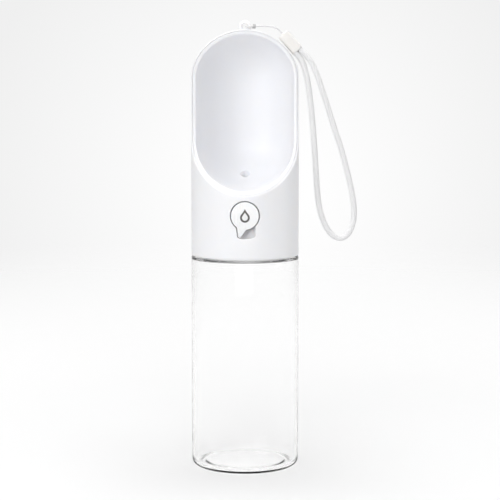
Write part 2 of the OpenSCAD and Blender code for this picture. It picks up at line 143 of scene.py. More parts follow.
class ButtonSizes(PropertyGroup):
    radius: length(0.008, "Radius", "Radius of the button's round part")
    gap: length(0.00055, "Gap", "Gap around the button")
    dome: length(0.09, "Dome radius", "Radius of the button's domed face")
    pointer: length(0.0129, "Pointer", "Distance from the centre to the pointer's tip")
    pointer_tip: length(0.00105, "Pointer tip", "Half the width of the pointer's tip")
    pointer_root: length(0.0034, "Pointer root", "Half the width of the pointer's root")
    root_down: length(0.006, "Root distance", "Distance from the centre to the pointer's root")
    lean: FloatProperty(
        name="Pointer lean", description="Lean of the pointer where the button can be pressed",
        default=math.radians(-14.7), subtype="ANGLE",
    )
    drop: length(0.0028, "Drop radius", "Radius of the drop's round part")
    drop_point: length(0.005, "Drop point", "Height of the drop's point above its round part")
    drop_line: length(0.0011, "Drop line", "Width of the drop's line")
    drop_down: length(0.001, "Drop centre", "How far the drop's round part lies under the centre")


class LanyardSizes(PropertyGroup):
    loop_thickness: length(0.0035, "Loop thickness", "Thickness of the wrist loop's cord")
    string_thickness: length(0.0011, "String thickness", "Thickness of the string")
    sleeve_length: length(0.0134, "Sleeve length", "Length of the sleeve")
    sleeve_width: length(0.0072, "Sleeve width", "Width of the sleeve")
    sleeve_depth: length(0.005, "Sleeve depth", "Depth of the sleeve")
    strands: IntProperty(
        name="Strands", description="Strands in each direction of the loop's braid", default=8, min=4
    )


class StageSizes(PropertyGroup):
    lens: FloatProperty(name="Lens", description="Focal length in millimetres", default=106.2)
    distance: length(0.8774, "Camera distance", "Distance from the camera to the bottle's axis")
    height: length(0.22135, "Camera height", "Height of the camera above the floor")
    sideways: length(0.00294, "Camera offset", "Distance of the camera to the right of the axis")
    pitch: FloatProperty(
        name="Camera pitch", description="Downward tilt of the camera",
        default=0.1045, subtype="ANGLE",
    )


class Colours(PropertyGroup):
    shell: colour((0.902, 0.893, 0.906), "Casing", "Colour of the white casing")
    bowl: colour((0.902, 0.9, 0.922), "Bowl", "Colour of the drinking bowl")
    button: colour((0.9, 0.9, 0.905), "Button", "Colour of the button")
    mark: colour((0.085, 0.078, 0.075), "Mark", "Colour of the drop on the button")
    inner: colour((0.86, 0.86, 0.865), "Inner parts", "Colour of the inner mouldings")
    silicone: colour((0.72, 0.73, 0.74), "Silicone", "Colour of the silicone seals")
    rubber: colour((0.025, 0.025, 0.027), "Rubber", "Colour of the rubber rings")
    steel: colour((0.58, 0.58, 0.6), "Steel", "Colour of the screws and the spring")
    cord: colour((0.84, 0.84, 0.845), "Cord", "Colour of the woven cord")
    sleeve: colour((0.83, 0.815, 0.79), "Sleeve", "Colour of the lanyard's sleeve")


# ---------------------------------------------------------------------------
# Outlines and meshes
# ---------------------------------------------------------------------------

# The material of each finish, which the stage makes
MATERIALS = {}


def mix(a, b, t):
    """The point or number that lies the share t of the way from a to b."""
    return a + (b - a) * t


def shares(steps):
    """Numbers at equal steps from 0 to 1."""
    return [i / steps for i in range(steps + 1)]


def round_turn(count):
    """Angles at equal steps once round."""
    return [2 * math.pi * i / count for i in range(count)]


def polar(radius, angle, z):
    """The point at a radius and an angle round the Z axis."""
    return Vector((radius * math.cos(angle), radius * math.sin(angle), z))


def centred(points):
    """Moves points sideways into the middle plane."""
    for p in points:
        p.x = 0


def other_side(p):
    """The same point on the other side of the middle plane."""
    return Vector((-p.x, p.y, p.z))


def eased(a, corner, b, steps):
    """Points on the curve from a to b that a corner draws towards itself."""
    return [mix(mix(a, corner, t), mix(corner, b, t), t) for t in shares(steps)]


def arc(centre, radius, start, end, steps):
    """Points on an arc, from one angle to another, in degrees."""
    angles = [math.radians(start + (end - start) * i / steps) for i in range(steps + 1)]
    return [Vector((centre[0] + radius * math.cos(a), centre[1] + radius * math.sin(a))) for a in angles]


def rounded(corners, steps=6):
    """An outline through (x, y, rounding) corners. Corners with no rounding stay as they are."""
    out = []
    for i, (x, y, reach) in enumerate(corners):
        corner = Vector((x, y))
        if not reach:
            out.append(corner)
            continue
        before = Vector(corners[i - 1][:2])
        after = Vector(corners[(i + 1) % len(corners)][:2])
        start = corner + (before - corner).normalized() * reach
        end = corner + (after - corner).normalized() * reach
        out += eased(start, corner, end, steps)
    return out


class Shape:
    """Faces that are gathered as grids and then closed to one mesh."""

    MERGE = 2e-6

    def __init__(self):
        self.bm = bmesh.new()

    def points(self, places):
        """New mesh points at places."""
        return [self.bm.verts.new(p) for p in places]

    def grid(self, rows, closed=False):
        """Faces between rows of points of equal length."""
        verts = [self.points(row) for row in rows]
        count = len(rows[0])
        for low, high in zip(verts, verts[1:]):
            for i in range(count if closed else count - 1):
                j = (i + 1) % count
                self.bm.faces.new((low[i], low[j], high[j], high[i]))

    def both(self, rows):
        """The same grid on both sides of the middle plane."""
        self.grid(rows)
        self.grid([[other_side(p) for p in row][::-1] for row in rows])

    def cap(self, ring, centre):
        """Closes a ring of points with faces to its centre."""
        verts = self.points(ring)
        middle = self.bm.verts.new(centre)
        for i, v in enumerate(verts):
            self.bm.faces.new((v, verts[(i + 1) % len(verts)], middle))

    def fan(self, coarse, fine):
        """Joins a coarse ring to one with a whole number of times as many points."""
        outer, inner = self.points(coarse), self.points(fine)
        times = len(inner) // len(outer)
        for i, v in enumerate(outer):
            w = outer[(i + 1) % len(outer)]
            span = [inner[(i * times + k) % len(inner)] for k in range(times + 1)]
            self.bm.faces.new([v, w] + span[::-1])

    def mesh(self, name):
        """The closed mesh, with its faces turned outwards."""
        bm = self.bm
        bmesh.ops.remove_doubles(bm, verts=bm.verts, dist=self.MERGE)
        bmesh.ops.dissolve_degenerate(bm, edges=bm.edges, dist=self.MERGE)
        loose = [v for v in bm.verts if not v.link_faces]
        bmesh.ops.delete(bm, geom=loose, context="VERTS")
        bmesh.ops.recalc_face_normals(bm, faces=bm.faces)
        mesh = bpy.data.meshes.new(name)
        bm.to_mesh(mesh)
        bm.free()
        mesh.shade_smooth()
        return mesh


def turned(profile, segments, place=Matrix()):
    """The form of an outline of (radius, height) points, turned round the Z axis and placed."""
    shape = Shape()
    rows = [[polar(r, a, z) for r, z in profile] for a in round_turn(segments)]
    shape.grid(rows + rows[:1])
    bmesh.ops.transform(shape.bm, matrix=place, verts=shape.bm.verts)
    return shape


def material_of(finish):
    """The material of a finish, which the stage makes."""
    if finish not in MATERIALS:
        raise RuntimeError("The stage and its materials come before the pieces")
    return MATERIALS[finish]


def paint(obj, finish):
    """Gives a piece or a CAD node its finish."""
    obj.data.materials.clear()
    obj.data.materials.append(material_of(finish))


def piece(name, form, finish, body, *nodes):
    """A visible piece, from a Shape or a mesh. It rides on a body and may stand for CAD nodes."""
    mesh = form.mesh(name) if isinstance(form, Shape) else form
    obj = bpy.data.objects.new(name, mesh)
    bpy.context.scene.collection.objects.link(obj)
    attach(obj, body)
    paint(obj, finish)
    if nodes:
        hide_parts(*nodes)
    return obj


def dress(node, finish):
    """Gives a CAD node its finish, with its flat faces kept sharp."""
    obj = frame["nodes"][node]
    paint(obj, finish)
    obj.data.shade_smooth()
    obj.data.set_sharp_from_angle(angle=SHARP)


# ---------------------------------------------------------------------------
# Materials
# ---------------------------------------------------------------------------


class Nodes:
    """Adds nodes to a node tree. A node's inputs are given by name, or by place as _0."""

    def __init__(self, tree):
        self.tree = tree

    def add(self, kind, settings=None, **inputs):
        """A new node with its settings and its inputs."""
        node = self.tree.nodes.new(kind)
        for key, value in (settings or {}).items():
            setattr(node, key, value)
        return self.fill(node, **inputs)

    def fill(self, node, **inputs):
        """Sets a node's inputs to constants, or links them to a socket or a node's first output."""
        for key, value in inputs.items():
            socket = node.inputs[int(key[1:]) if key[0] == "_" else key.replace("_", " ")]
            if isinstance(value, bpy.types.Node):
                value = value.outputs[0]
            if isinstance(value, bpy.types.NodeSocket):
                self.tree.links.new(value, socket)
            else:
                socket.default_value = value
        return node

    def math(self, operation, a, b=0.0, clamp=False):
        """A sum or another calculation with one or two numbers."""
        return self.add("ShaderNodeMath", {"operation": operation, "use_clamp": clamp}, _0=a, _1=b)

    def place(self):
        """The place on the piece, which a pattern follows."""
        return self.add("ShaderNodeTexCoord").outputs["Object"]

    def noise(self, place, **inputs):
        """Cloudy noise at a place."""
        return self.add("ShaderNodeTexNoise", Vector=place, **inputs)

    def background_rays(self):
        """1 for the rays by which the camera, gloss and glass see the background, else 0."""
        path = self.add("ShaderNodeLightPath").outputs
        seen = self.math("MAXIMUM", path["Is Camera Ray"], path["Is Glossy Ray"])
        return self.math("MAXIMUM", seen, path["Is Transmission Ray"])


class Group(Nodes):
    """A new node group with named inputs and outputs of given kinds."""

    def __init__(self, name, tree, inputs, outputs):
        super().__init__(bpy.data.node_groups.new(name, tree))
        for side, sockets in (("INPUT", inputs), ("OUTPUT", outputs)):
            for label, kind in sockets.items():
                self.tree.interface.new_socket(label, in_out=side, socket_type="NodeSocket" + kind)
        self.given = self.tree.nodes.new("NodeGroupInput").outputs
        self.end = self.tree.nodes.new("NodeGroupOutput")


class Finish(Nodes):
    """A new material and its shader."""

    def __init__(self, name):
        self.material = bpy.data.materials.new(name)
        self.material.use_nodes = True
        super().__init__(self.material.node_tree)
        self.shader = self.tree.nodes["Principled BSDF"]

    def set(self, **inputs):
        """Sets or links inputs of the shader."""
        self.fill(self.shader, **inputs)

    def group(self, name, **inputs):
        """The outputs of a shared group with its own values."""
        return self.add("ShaderNodeGroup", {"node_tree": bpy.data.node_groups[name]}, **inputs).outputs

    def moulded(self, **inputs):
        """Roughness and relief from the group that all mouldings share."""
        surface = self.group("Moulded Surface", **inputs)
        self.set(Roughness=surface["Roughness"], Normal=surface["Normal"])


def moulded_surface():
    """Roughness, fine relief and handling marks of moulded plastic."""
    nodes = Group(
        "Moulded Surface", "ShaderNodeTree",
        dict.fromkeys(("Roughness", "Spread", "Relief", "Ripple"), "Float"),
        {"Roughness": "Float", "Normal": "Vector"},
    )
    place = nodes.place()
    long_ways = nodes.add("ShaderNodeMapping", Vector=place, Scale=(900, 900, 60))
    smudge = nodes.math("SUBTRACT", nodes.noise(place, Scale=60, Detail=4, Roughness=0.6), 0.5)
    streaks = nodes.math("SUBTRACT", nodes.noise(long_ways, Scale=1, Detail=2), 0.5)
    wander = nodes.math("ADD", smudge, nodes.math("MULTIPLY", streaks, 0.5))
    spread = nodes.math("MULTIPLY", wander, nodes.given["Spread"])
    grain = nodes.add(
        "ShaderNodeBump", Height=nodes.noise(place, Scale=9000, Detail=2), Distance=0.00012,
        Strength=nodes.given["Relief"],
    )
    wave = nodes.add(
        "ShaderNodeBump", Height=nodes.noise(place, Scale=110, Detail=1), Distance=0.0006,
        Strength=nodes.given["Ripple"], Normal=grain,
    )
    rough = nodes.math("ADD", nodes.given["Roughness"], spread, clamp=True)
    nodes.fill(nodes.end, Roughness=rough, Normal=wave)


def colour_drift():
    """A colour that wanders a little over the surface, as in any moulding."""
    nodes = Group(
        "Colour Drift", "ShaderNodeTree", {"Colour": "Color", "Amount": "Float"}, {"Colour": "Color"}
    )
    cloud = nodes.math("SUBTRACT", nodes.noise(nodes.place(), Scale=40, Detail=3), 0.5)
    gain = nodes.math("ADD", nodes.math("MULTIPLY", cloud, nodes.given["Amount"]), 1.0)
    shade = nodes.add(
        "ShaderNodeVectorMath", {"operation": "SCALE"}, _0=nodes.given["Colour"], Scale=gain
    )
    nodes.fill(nodes.end, Colour=shade)


def plastic(name, tint, roughness, spread=0.08, relief=0.02, ripple=0.02, drift=0.02, subsurface=0.0):
    """A moulded plastic, rubber or silicone."""
    finish = Finish(name)
    finish.moulded(Roughness=roughness, Spread=spread, Relief=relief, Ripple=ripple)
    drifting = finish.group("Colour Drift", Colour=(*tint, 1), Amount=drift)
    finish.set(Base_Color=drifting["Colour"])
    if subsurface:
        finish.set(
            Subsurface_Weight=subsurface, Subsurface_Radius=(1.0, 0.9, 0.8), Subsurface_Scale=0.003
        )
    return finish.material


def clear_plastic():
    """Clear polished plastic, with the faintest waviness of a blown bottle."""
    finish = Finish("clear_plastic")
    finish.moulded(Roughness=0.015, Spread=0.02, Relief=0.0, Ripple=0.05)
    finish.set(Base_Color=(0.998, 0.998, 0.998, 1), Transmission_Weight=1, IOR=1.25)
    passing = finish.add("ShaderNodeBsdfTransparent", Color=(0.93, 0.93, 0.93, 1))
    shadow = finish.add("ShaderNodeLightPath").outputs["Is Shadow Ray"]
    either = finish.add("ShaderNodeMixShader", Fac=shadow, _1=finish.shader, _2=passing)
    finish.fill(finish.tree.nodes["Material Output"], Surface=either)
    return finish.material


def steel(tint):
    """Bright steel, as of screws and springs."""
    finish = Finish("steel")
    finish.moulded(Roughness=0.3, Spread=0.2, Relief=0.1, Ripple=0.0)
    finish.set(Base_Color=(*tint, 1), Metallic=1)
    return finish.material


def woven_cord(tint):
    """Cord of fine fibres, with painted shade that darkens it between its strands."""
    finish = Finish("woven_cord")
    height = finish.add("ShaderNodeAttribute", {"attribute_name": "strand_height"})
    ramp = finish.add("ShaderNodeValToRGB", Fac=height.outputs["Fac"])
    # The ramp paints shade into the colour: the grooves between the strands are darker, at 0.6 of the
    # cord's tint.
    groove, crown = ramp.color_ramp.elements
    groove.color = (*[0.6 * c for c in tint], 1)
    crown.color = (*tint, 1)
    crown.position = 0.55
    fibres = finish.noise(finish.place(), Scale=6000, Detail=3, Roughness=0.7)
    finish.set(
        Base_Color=ramp, Sheen_Weight=0.25, Sheen_Roughness=0.4,
        Normal=finish.add("ShaderNodeBump", Height=fibres, Distance=0.0001, Strength=0.35),
        Roughness=finish.math("ADD", finish.math("MULTIPLY", fibres, 0.2), 0.68),
    )
    return finish.material


def make_materials(colours):
    """Fills the table of materials, one for each finish."""
    moulded_surface()
    colour_drift()
    MATERIALS.update({
        "clear": clear_plastic(),
        "shell": plastic(
            "white_casing", colours.shell, 0.34, relief=0.03, ripple=0.008, subsurface=0.6
        ),
        "bowl": plastic(
            "bowl_white", colours.bowl, 0.36, spread=0.04, relief=0.015, ripple=0.004, subsurface=0.5
        ),
        "button": plastic("button_white", colours.button, 0.28, subsurface=0.6),
        "mark": plastic("mark_grey", colours.mark, 0.45, relief=0.1),
        "inner": plastic("inner_moulding", colours.inner, 0.45, relief=0.05),
        "silicone": plastic("silicone", colours.silicone, 0.5, relief=0.05, subsurface=0.3),
        "rubber": plastic("black_rubber", colours.rubber, 0.55, relief=0.15),
        "steel": steel(colours.steel),
        "cord": woven_cord(colours.cord),
        "sleeve": plastic(
            "sleeve_cream", colours.sleeve, 0.42, relief=0.08, drift=0.05, subsurface=0.2
        ),
    })


# ---------------------------------------------------------------------------
# Geometry Nodes
# ---------------------------------------------------------------------------


class GeometryTree(Group):
    """A Geometry Nodes tree with named numbers, which ends in Realize Instances and Set Material."""

    def __init__(self, name, *numbers, **others):
        inputs = {"Geometry": "Geometry", **dict.fromkeys(numbers, "Float"), **others}
        super().__init__(name, "GeometryNodeTree", {**inputs, "Material": "Material"},
                         {"Geometry": "Geometry"})

    def store(self, name, geometry, value):
        """Stores a number at each point under a name."""
        return self.add(
            "GeometryNodeStoreNamedAttribute", {"data_type": "FLOAT", "domain": "POINT"},
            Geometry=geometry, Name=name, Value=value,
        )

    def read(self, name):
        """The number that is stored under a name."""
        return self.add("GeometryNodeInputNamedAttribute", {"data_type": "FLOAT"}, Name=name)

    def sweep(self, curve, profile, scale=1.0):
        """The tree's result: a profile along a curve, with closed ends."""
        return self.add("GeometryNodeCurveToMesh", Curve=curve, Profile_Curve=profile, Scale=scale,
                        Fill_Caps=True)

    def finish(self, geometry):
        """Ends the tree with its geometry, made real and painted."""
        smooth = self.add("GeometryNodeSetShadeSmooth", Geometry=geometry)
        real = self.add("GeometryNodeRealizeInstances", Geometry=smooth)
        self.fill(self.end, Geometry=self.add(
            "GeometryNodeSetMaterial", Geometry=real, Material=self.given["Material"]
        ))
        return self.tree


def grown(name, tree, finish, body, *nodes, along=None, **values):
    """The piece that a Geometry Nodes tree makes, alone or along a curve."""
    seed = bpy.data.objects.new("seed", along or bpy.data.meshes.new("seed"))
    bpy.context.scene.collection.objects.link(seed)
    modifier = seed.modifiers.new("grow", "NODES")
    modifier.node_group = tree
    values["Material"] = material_of(finish)
    for item in tree.interface.items_tree:
        if item.in_out == "INPUT" and item.name in values:
            modifier[item.identifier] = values[item.name]
    shown = seed.evaluated_get(bpy.context.evaluated_depsgraph_get())
    mesh = bpy.data.meshes.new_from_object(shown)
    mesh.name = name
    bpy.data.objects.remove(seed)
    return piece(name, mesh, finish, body, *nodes)


def thread_tree():
    """A screw thread: a spiral ridge with faded ends."""
    nodes = GeometryTree("Screw Thread", "Radius", "Start", "Lead", "Turns", "Root", "Crest", "Depth")
    given = nodes.given
    spiral = nodes.add(
        "GeometryNodeCurveSpiral", Resolution=96, Rotations=given["Turns"],
        Start_Radius=given["Radius"], End_Radius=given["Radius"],
        Height=nodes.math("MULTIPLY", given["Lead"], given["Turns"]),
    )
    lift = nodes.add("ShaderNodeCombineXYZ", Z=given["Start"])
    placed = nodes.add("GeometryNodeTransform", Geometry=spiral, Translation=lift)
    upright = nodes.add("GeometryNodeSetCurveNormal", {"mode": "Z_UP"}, Curve=placed)
    share = nodes.add("GeometryNodeSplineParameter").outputs["Factor"]
    ends = nodes.math("MINIMUM", share, nodes.math("SUBTRACT", 1.0, share))
    fade = nodes.math("MINIMUM", nodes.math("MULTIPLY", ends, 9.0), 1.0)
    outline = nodes.add(
        "GeometryNodeCurvePrimitiveQuadrilateral", {"mode": "TRAPEZOID"}, Height=given["Depth"],
        Bottom_Width=given["Root"], Top_Width=given["Crest"], Offset=0.0,
    )
    profile = nodes.add("GeometryNodeTransform", Geometry=outline, Rotation=(0, 0, math.pi / 2))
    return nodes.finish(nodes.sweep(upright, profile, nodes.math("MAXIMUM", fade, 0.05)))


def screw_thread(name, finish, body, sizes, **ridge):
    """The thread on the neck or in the collar, at the bottle's lead."""
    tree = bpy.data.node_groups.get("Screw Thread") or thread_tree()
    grown(name, tree, finish, body, Lead=sizes.thread_lead, Turns=THREAD_TURNS, **ridge)


def coil_tree():
    """A coil spring along Y, with its first turn at a place."""
    nodes = GeometryTree("Coil Spring", "Radius", "Wire", "Turns", "Travel", Place="Vector")
    given = nodes.given
    spiral = nodes.add(
        "GeometryNodeCurveSpiral", Resolution=40, Rotations=given["Turns"], Reverse=True,
        Start_Radius=given["Radius"], End_Radius=given["Radius"], Height=given["Travel"],
    )
    laid = nodes.add(
        "GeometryNodeTransform", Geometry=spiral, Rotation=(-math.pi / 2, 0, 0),
        Translation=given["Place"],
    )
    section = nodes.add(
        "GeometryNodeCurvePrimitiveCircle", Resolution=12,
        Radius=nodes.math("MULTIPLY", given["Wire"], 0.5),
    )
    return nodes.finish(nodes.sweep(laid, section))


def cord_tree():
    """A cord along a curve: two families of strands that pass over and under each other."""
    nodes = GeometryTree(
        "Braided Cord", "Thickness", "Strands", "Pitch", "Relief", "Step", Sides="Int"
    )
    given = nodes.given
    line = nodes.add(
        "GeometryNodeResampleCurve", {"mode": "LENGTH"}, Curve=given["Geometry"], Length=given["Step"]
    )
    run = nodes.add("GeometryNodeSplineParameter").outputs
    ring = nodes.add(
        "GeometryNodeCurvePrimitiveCircle", Resolution=given["Sides"],
        Radius=nodes.math("MULTIPLY", given["Thickness"], 0.5),
    )
    tube = nodes.sweep(
        nodes.store("cord_along", line, run["Length"]), nodes.store("cord_around", ring, run["Factor"])
    )
    turns = nodes.math("DIVIDE", nodes.read("cord_along"), given["Pitch"])
    spread = nodes.math("MULTIPLY", nodes.read("cord_around"), given["Strands"])
    right, left = nodes.math("ADD", spread, turns), nodes.math("SUBTRACT", spread, turns)
    both = nodes.math("ADD", nodes.math("FLOOR", right), nodes.math("FLOOR", left))
    over = nodes.math("ABSOLUTE", nodes.math("MODULO", both, 2.0))
    crowns = [
        nodes.math("SINE", nodes.math("MULTIPLY", nodes.math("FRACT", strand), math.pi))
        for strand in (right, left)
    ]
    height = nodes.math(
        "ADD", nodes.math("MULTIPLY", crowns[0], over),
        nodes.math("MULTIPLY", crowns[1], nodes.math("SUBTRACT", 1.0, over)),
    )
    push = nodes.math("MULTIPLY", nodes.math("SUBTRACT", height, 1.0), given["Relief"])
    inwards = nodes.add(
        "ShaderNodeVectorMath", {"operation": "SCALE"},
        _0=nodes.add("GeometryNodeInputNormal"), Scale=push,
    )
    # The strands' height is kept, and the cord's material paints shade between the strands from it.
    kept = nodes.store("strand_height", tube, height)
    return nodes.finish(nodes.add("GeometryNodeSetPosition", Geometry=kept, Offset=inwards))


# ---------------------------------------------------------------------------
# The head's form
# ---------------------------------------------------------------------------


class HeadForm:
    """The head's outer form, its rim surface and the bowl's outline, from the sizes."""

    def __init__(self, sizes):
        self.radius = BODY_RADIUS
        self.bottom = sizes.bottom
        self.top = sizes.top
        self.spring = sizes.top - sizes.arch
        self.side_round = sizes.side_round
        self.side_x = BODY_RADIUS - sizes.side_round
        square = self.side_x**2 + sizes.arch**2 - sizes.side_round**2
        self.crown_round = square / (2 * (sizes.arch - sizes.side_round))
        self.crown_z = sizes.top - self.crown_round
        self.seam = Vector((self.side_x, self.spring - self.crown_z)).normalized()
        self.rim_low = sizes.rim_low
        self.bend = sizes.rim_bend
        root = math.sqrt(2)
        self.bend_z = sizes.rim_low + BODY_RADIUS - sizes.rim_bend + sizes.rim_bend * root
        self.slope_length = (self.bend_z - self.bend / root - self.rim_low) * root
        self.bend_length = self.bend * math.pi / 4
        self.rim_width = sizes.rim_width
        self.bowl_radius = BODY_RADIUS - sizes.rim_width
        self.bowl_z = sizes.bowl_low + self.bowl_radius

    def half_width(self, z, inset):
        """Radius of the outer form at a height, drawn in by inset."""
        if z <= self.spring:
            return self.radius - inset
        side = self.side_round - inset
        if z <= self.spring + side * self.seam.y:
            return self.side_x + math.sqrt(max(side**2 - (z - self.spring) ** 2, 0))
        crown = self.crown_round - inset
        return math.sqrt(max(crown**2 - (z - self.crown_z) ** 2, 0))

    def onto(self, p, inset):
        """The nearest point on the outer form, drawn in by inset."""
        out = math.hypot(p.x, p.y)
        flat = Vector((out, p.z))
        if p.z <= self.spring:
            near = Vector((self.radius - inset, p.z))
        elif out * self.seam.y < self.seam.x * (p.z - self.crown_z):
            centre = Vector((0, self.crown_z))
            near = centre + (flat - centre).normalized() * (self.crown_round - inset)
        else:
            centre = Vector((self.side_x, self.spring))
            near = centre + (flat - centre).normalized() * (self.side_round - inset)
        share = near.x / out
        return Vector((p.x * share, p.y * share, near.y))

    def rim(self, run):
        """Place (y, z) and front normal of the rim's surface, a run up from its lowest point."""
        root = math.sqrt(0.5)
        if run <= self.slope_length:
            place = Vector((run * root - self.radius, self.rim_low + run * root))
            return place, Vector((-root, root))
        if run <= self.slope_length + self.bend_length:
            turn = (run - self.slope_length) / self.bend - math.pi / 4
            way = Vector((math.cos(turn), math.sin(turn)))
            return Vector((-self.bend, self.bend_z)) + self.bend * way, -way
        return Vector((0, self.bend_z + run - self.slope_length - self.bend_length)), Vector((-1, 0))

    def run_at(self, z):
        """The run at which the rim's surface reaches a height."""
        slope_top = self.rim_low + self.slope_length * math.sqrt(0.5)
        if z <= slope_top:
            return (z - self.rim_low) * math.sqrt(2)
        if z <= self.bend_z:
            turn = -math.asin((self.bend_z - z) / self.bend)
            return self.slope_length + (turn + math.pi / 4) * self.bend
        return self.slope_length + self.bend_length + z - self.bend_z

    def at_rim(self, flat, depth=0.0):
        """The point of the rim at (x, run), set back by depth."""
        place, normal = self.rim(flat.y)
        place = place - normal * depth
        return Vector((flat.x, place.x, place.y))

    def bowl_half_width(self, z):
        """Half the width of the bowl's outline at a height."""
        if z < self.bowl_z:
            return math.sqrt(max(self.bowl_radius**2 - (self.bowl_z - z) ** 2, 0))
        return self.half_width(z, self.rim_width)

    def bowl_normal(self, x, z):
        """Outward direction of the bowl's outline in the front view."""
        if z < self.bowl_z:
            return Vector((x, z - self.bowl_z)).normalized()
        if z <= self.spring:
            return Vector((1, 0))
        if x * self.seam.y < self.seam.x * (z - self.crown_z):
            return Vector((x, z - self.crown_z)).normalized()
        return Vector((x - self.side_x, z - self.spring)).normalized()


def spaced(line, count):
    """Points at equal steps along a line of points."""
    runs = [0.0]
    for a, b in zip(line, line[1:]):
        runs.append(runs[-1] + (b - a).length)
    out, i = [], 0
    for k in range(count + 1):
        want = runs[-1] * k / count
        while i < len(line) - 2 and runs[i + 1] < want:
            i += 1
        share = (want - runs[i]) / max(runs[i + 1] - runs[i], 1e-12)
        out.append(mix(line[i], line[i + 1], min(share, 1)))
    return out


def nearest(line, p):
    """The point of a line of points that lies nearest to p."""
    best, found = 1e9, None
    for a, b in zip(line, line[1:]):
        way = b - a
        share = max(0, min(1, (p - a).dot(way) / max(way.length_squared, 1e-18)))
        q = a + way * share
        far = (q - p).length
        if far < best:
            best, found = far, q
    return found


def rim_edges(form, count):
    """Outer and inner edge of the right half of the rim, as (x, run), from bottom to top."""
    top_run = form.run_at(form.top)
    fine = [(1 - math.cos(math.pi * i / RIM_SAMPLES)) / 2 for i in range(RIM_SAMPLES + 1)]
    outer = []
    for share in fine:
        place, _ = form.rim(top_run * share)
        wide = form.half_width(place.y, 0) ** 2 - place.x**2
        outer.append(Vector((math.sqrt(max(wide, 0)), top_run * share)))
    low = form.bowl_z - form.bowl_radius
    high = form.top - form.rim_width
    heights = [mix(low, high, share) for share in fine]
    inner = [Vector((form.bowl_half_width(z), form.run_at(z))) for z in heights]
    centred([outer[-1], inner[0], inner[-1]])
    edge = spaced(outer, count)
    inside = [nearest(inner, p) for p in edge]
    inside[0], inside[-1] = inner[0], inner[-1]
    return edge, inside


def rim_outside(form, edge, reach, inset):
    """For each point of the rim's outer edge, the point of the outer form a reach behind it."""
    points = [form.at_rim(p) for p in edge]
    last = len(points) - 1
    out = []
    for i, p in enumerate(points):
        along = points[min(i + 1, last)] - points[max(i - 1, 0)]
        if i in (0, last):
            along = Vector((1, 0, 0))
        up = (p - form.onto(p, RIM_PROBE)).normalized() if i < last else Vector((0, 0, 1))
        back = along.cross(up).normalized()
        _, normal = form.rim(edge[i].y)
        if back.dot(Vector((0, -normal.x, -normal.y))) < 0:
            back = -back
        out.append(form.onto(p + back * reach, inset))
    return out


def casing_grids(form, loop, inset, bottom, rows, back):
    """Rows of points on the outer form under and behind a loop: front, lower back and upper back."""
    turn = next(i for i, p in enumerate(loop) if p.z >= form.bend_z)
    front = []
    for i, p in enumerate(loop[:turn + 1]):
        a = math.atan2(p.y, p.x) if i else -math.pi / 2
        column = [polar(form.radius - inset, a, mix(bottom, p.z, t)) for t in shares(rows)]
        front.append([*column[:-1], p.copy()])
    centred(front[0])
    start = math.atan2(loop[turn].y, loop[turn].x)
    lower = [front[turn]]
    for t in shares(back)[1:]:
        a = mix(start, math.pi / 2, t)
        lower.append([polar(form.radius - inset, a, p.z) for p in front[turn]])
    upper = []
    for p in loop[turn:]:
        begin = math.atan2(p.y, p.x)
        angles = [mix(begin, math.pi / 2, t) for t in shares(back)]
        upper.append([polar(math.hypot(p.x, p.y), a, p.z) for a in angles])
    centred([row[-1] for row in upper] + lower[-1])
    return front, lower, upper


def ray_reach(outline, angle):
    """How far out a ray from the centre meets a closed outline."""
    way = Vector((math.cos(angle), math.sin(angle)))
    best = 0
    for a, b in zip(outline, outline[1:] + outline[:1]):
        side = b - a
        cross = way.x * side.y - way.y * side.x
        if abs(cross) < 1e-15:
            continue
        far = (a.x * side.y - a.y * side.x) / cross
        share = (a.x * way.y - a.y * way.x) / cross
        if far > 0 and -1e-9 <= share <= 1 + 1e-9:
            best = max(best, far)
    return best


def spun(x, y, angle):
    """The point (x, y), turned round the origin."""
    c, s = math.cos(angle), math.sin(angle)
    return Vector((x * c - y * s, x * s + y * c))


def pointer_outline(sizes, left, right, grow):
    """The outline that the pointer covers as it turns from left to right, made wider by grow."""
    far = sizes.pointer - sizes.pointer_tip
    tip = sizes.pointer_tip + grow
    root = sizes.pointer_root + grow
    start, end = math.degrees(left), math.degrees(right)
    points = [Vector((0, 0)), spun(-root, -sizes.root_down, left)]
    points += arc(spun(0, -far, left), tip, 180 + start, 270 + start, 6)
    if right > left:
        points += arc((0, 0), sizes.pointer + grow, 270 + start, 270 + end, 12)
    points += arc(spun(0, -far, right), tip, 270 + end, 360 + end, 6)
    return [*points, spun(root, -sizes.root_down, right)]


def button_reach(sizes, angles, outline, grow):
    """How far the button's outline, made wider by grow, reaches at each angle."""
    return [max(sizes.radius + grow, ray_reach(outline, a)) for a in angles]


def button_ring(angles, reach, depth):
    """Points round the button's centre. Reach is a number or one for each angle, and depth, the
    place along Y, is a number or a function of x and the reach."""
    out = []
    for i, a in enumerate(angles):
        r = reach[i] if isinstance(reach, list) else reach
        x = r * math.cos(a)
        y = depth(x, r) if callable(depth) else depth
        out.append(Vector((x, y, BUTTON_HEIGHT + r * math.sin(a))))
    return out


# ---------------------------------------------------------------------------
# Operators
# ---------------------------------------------------------------------------


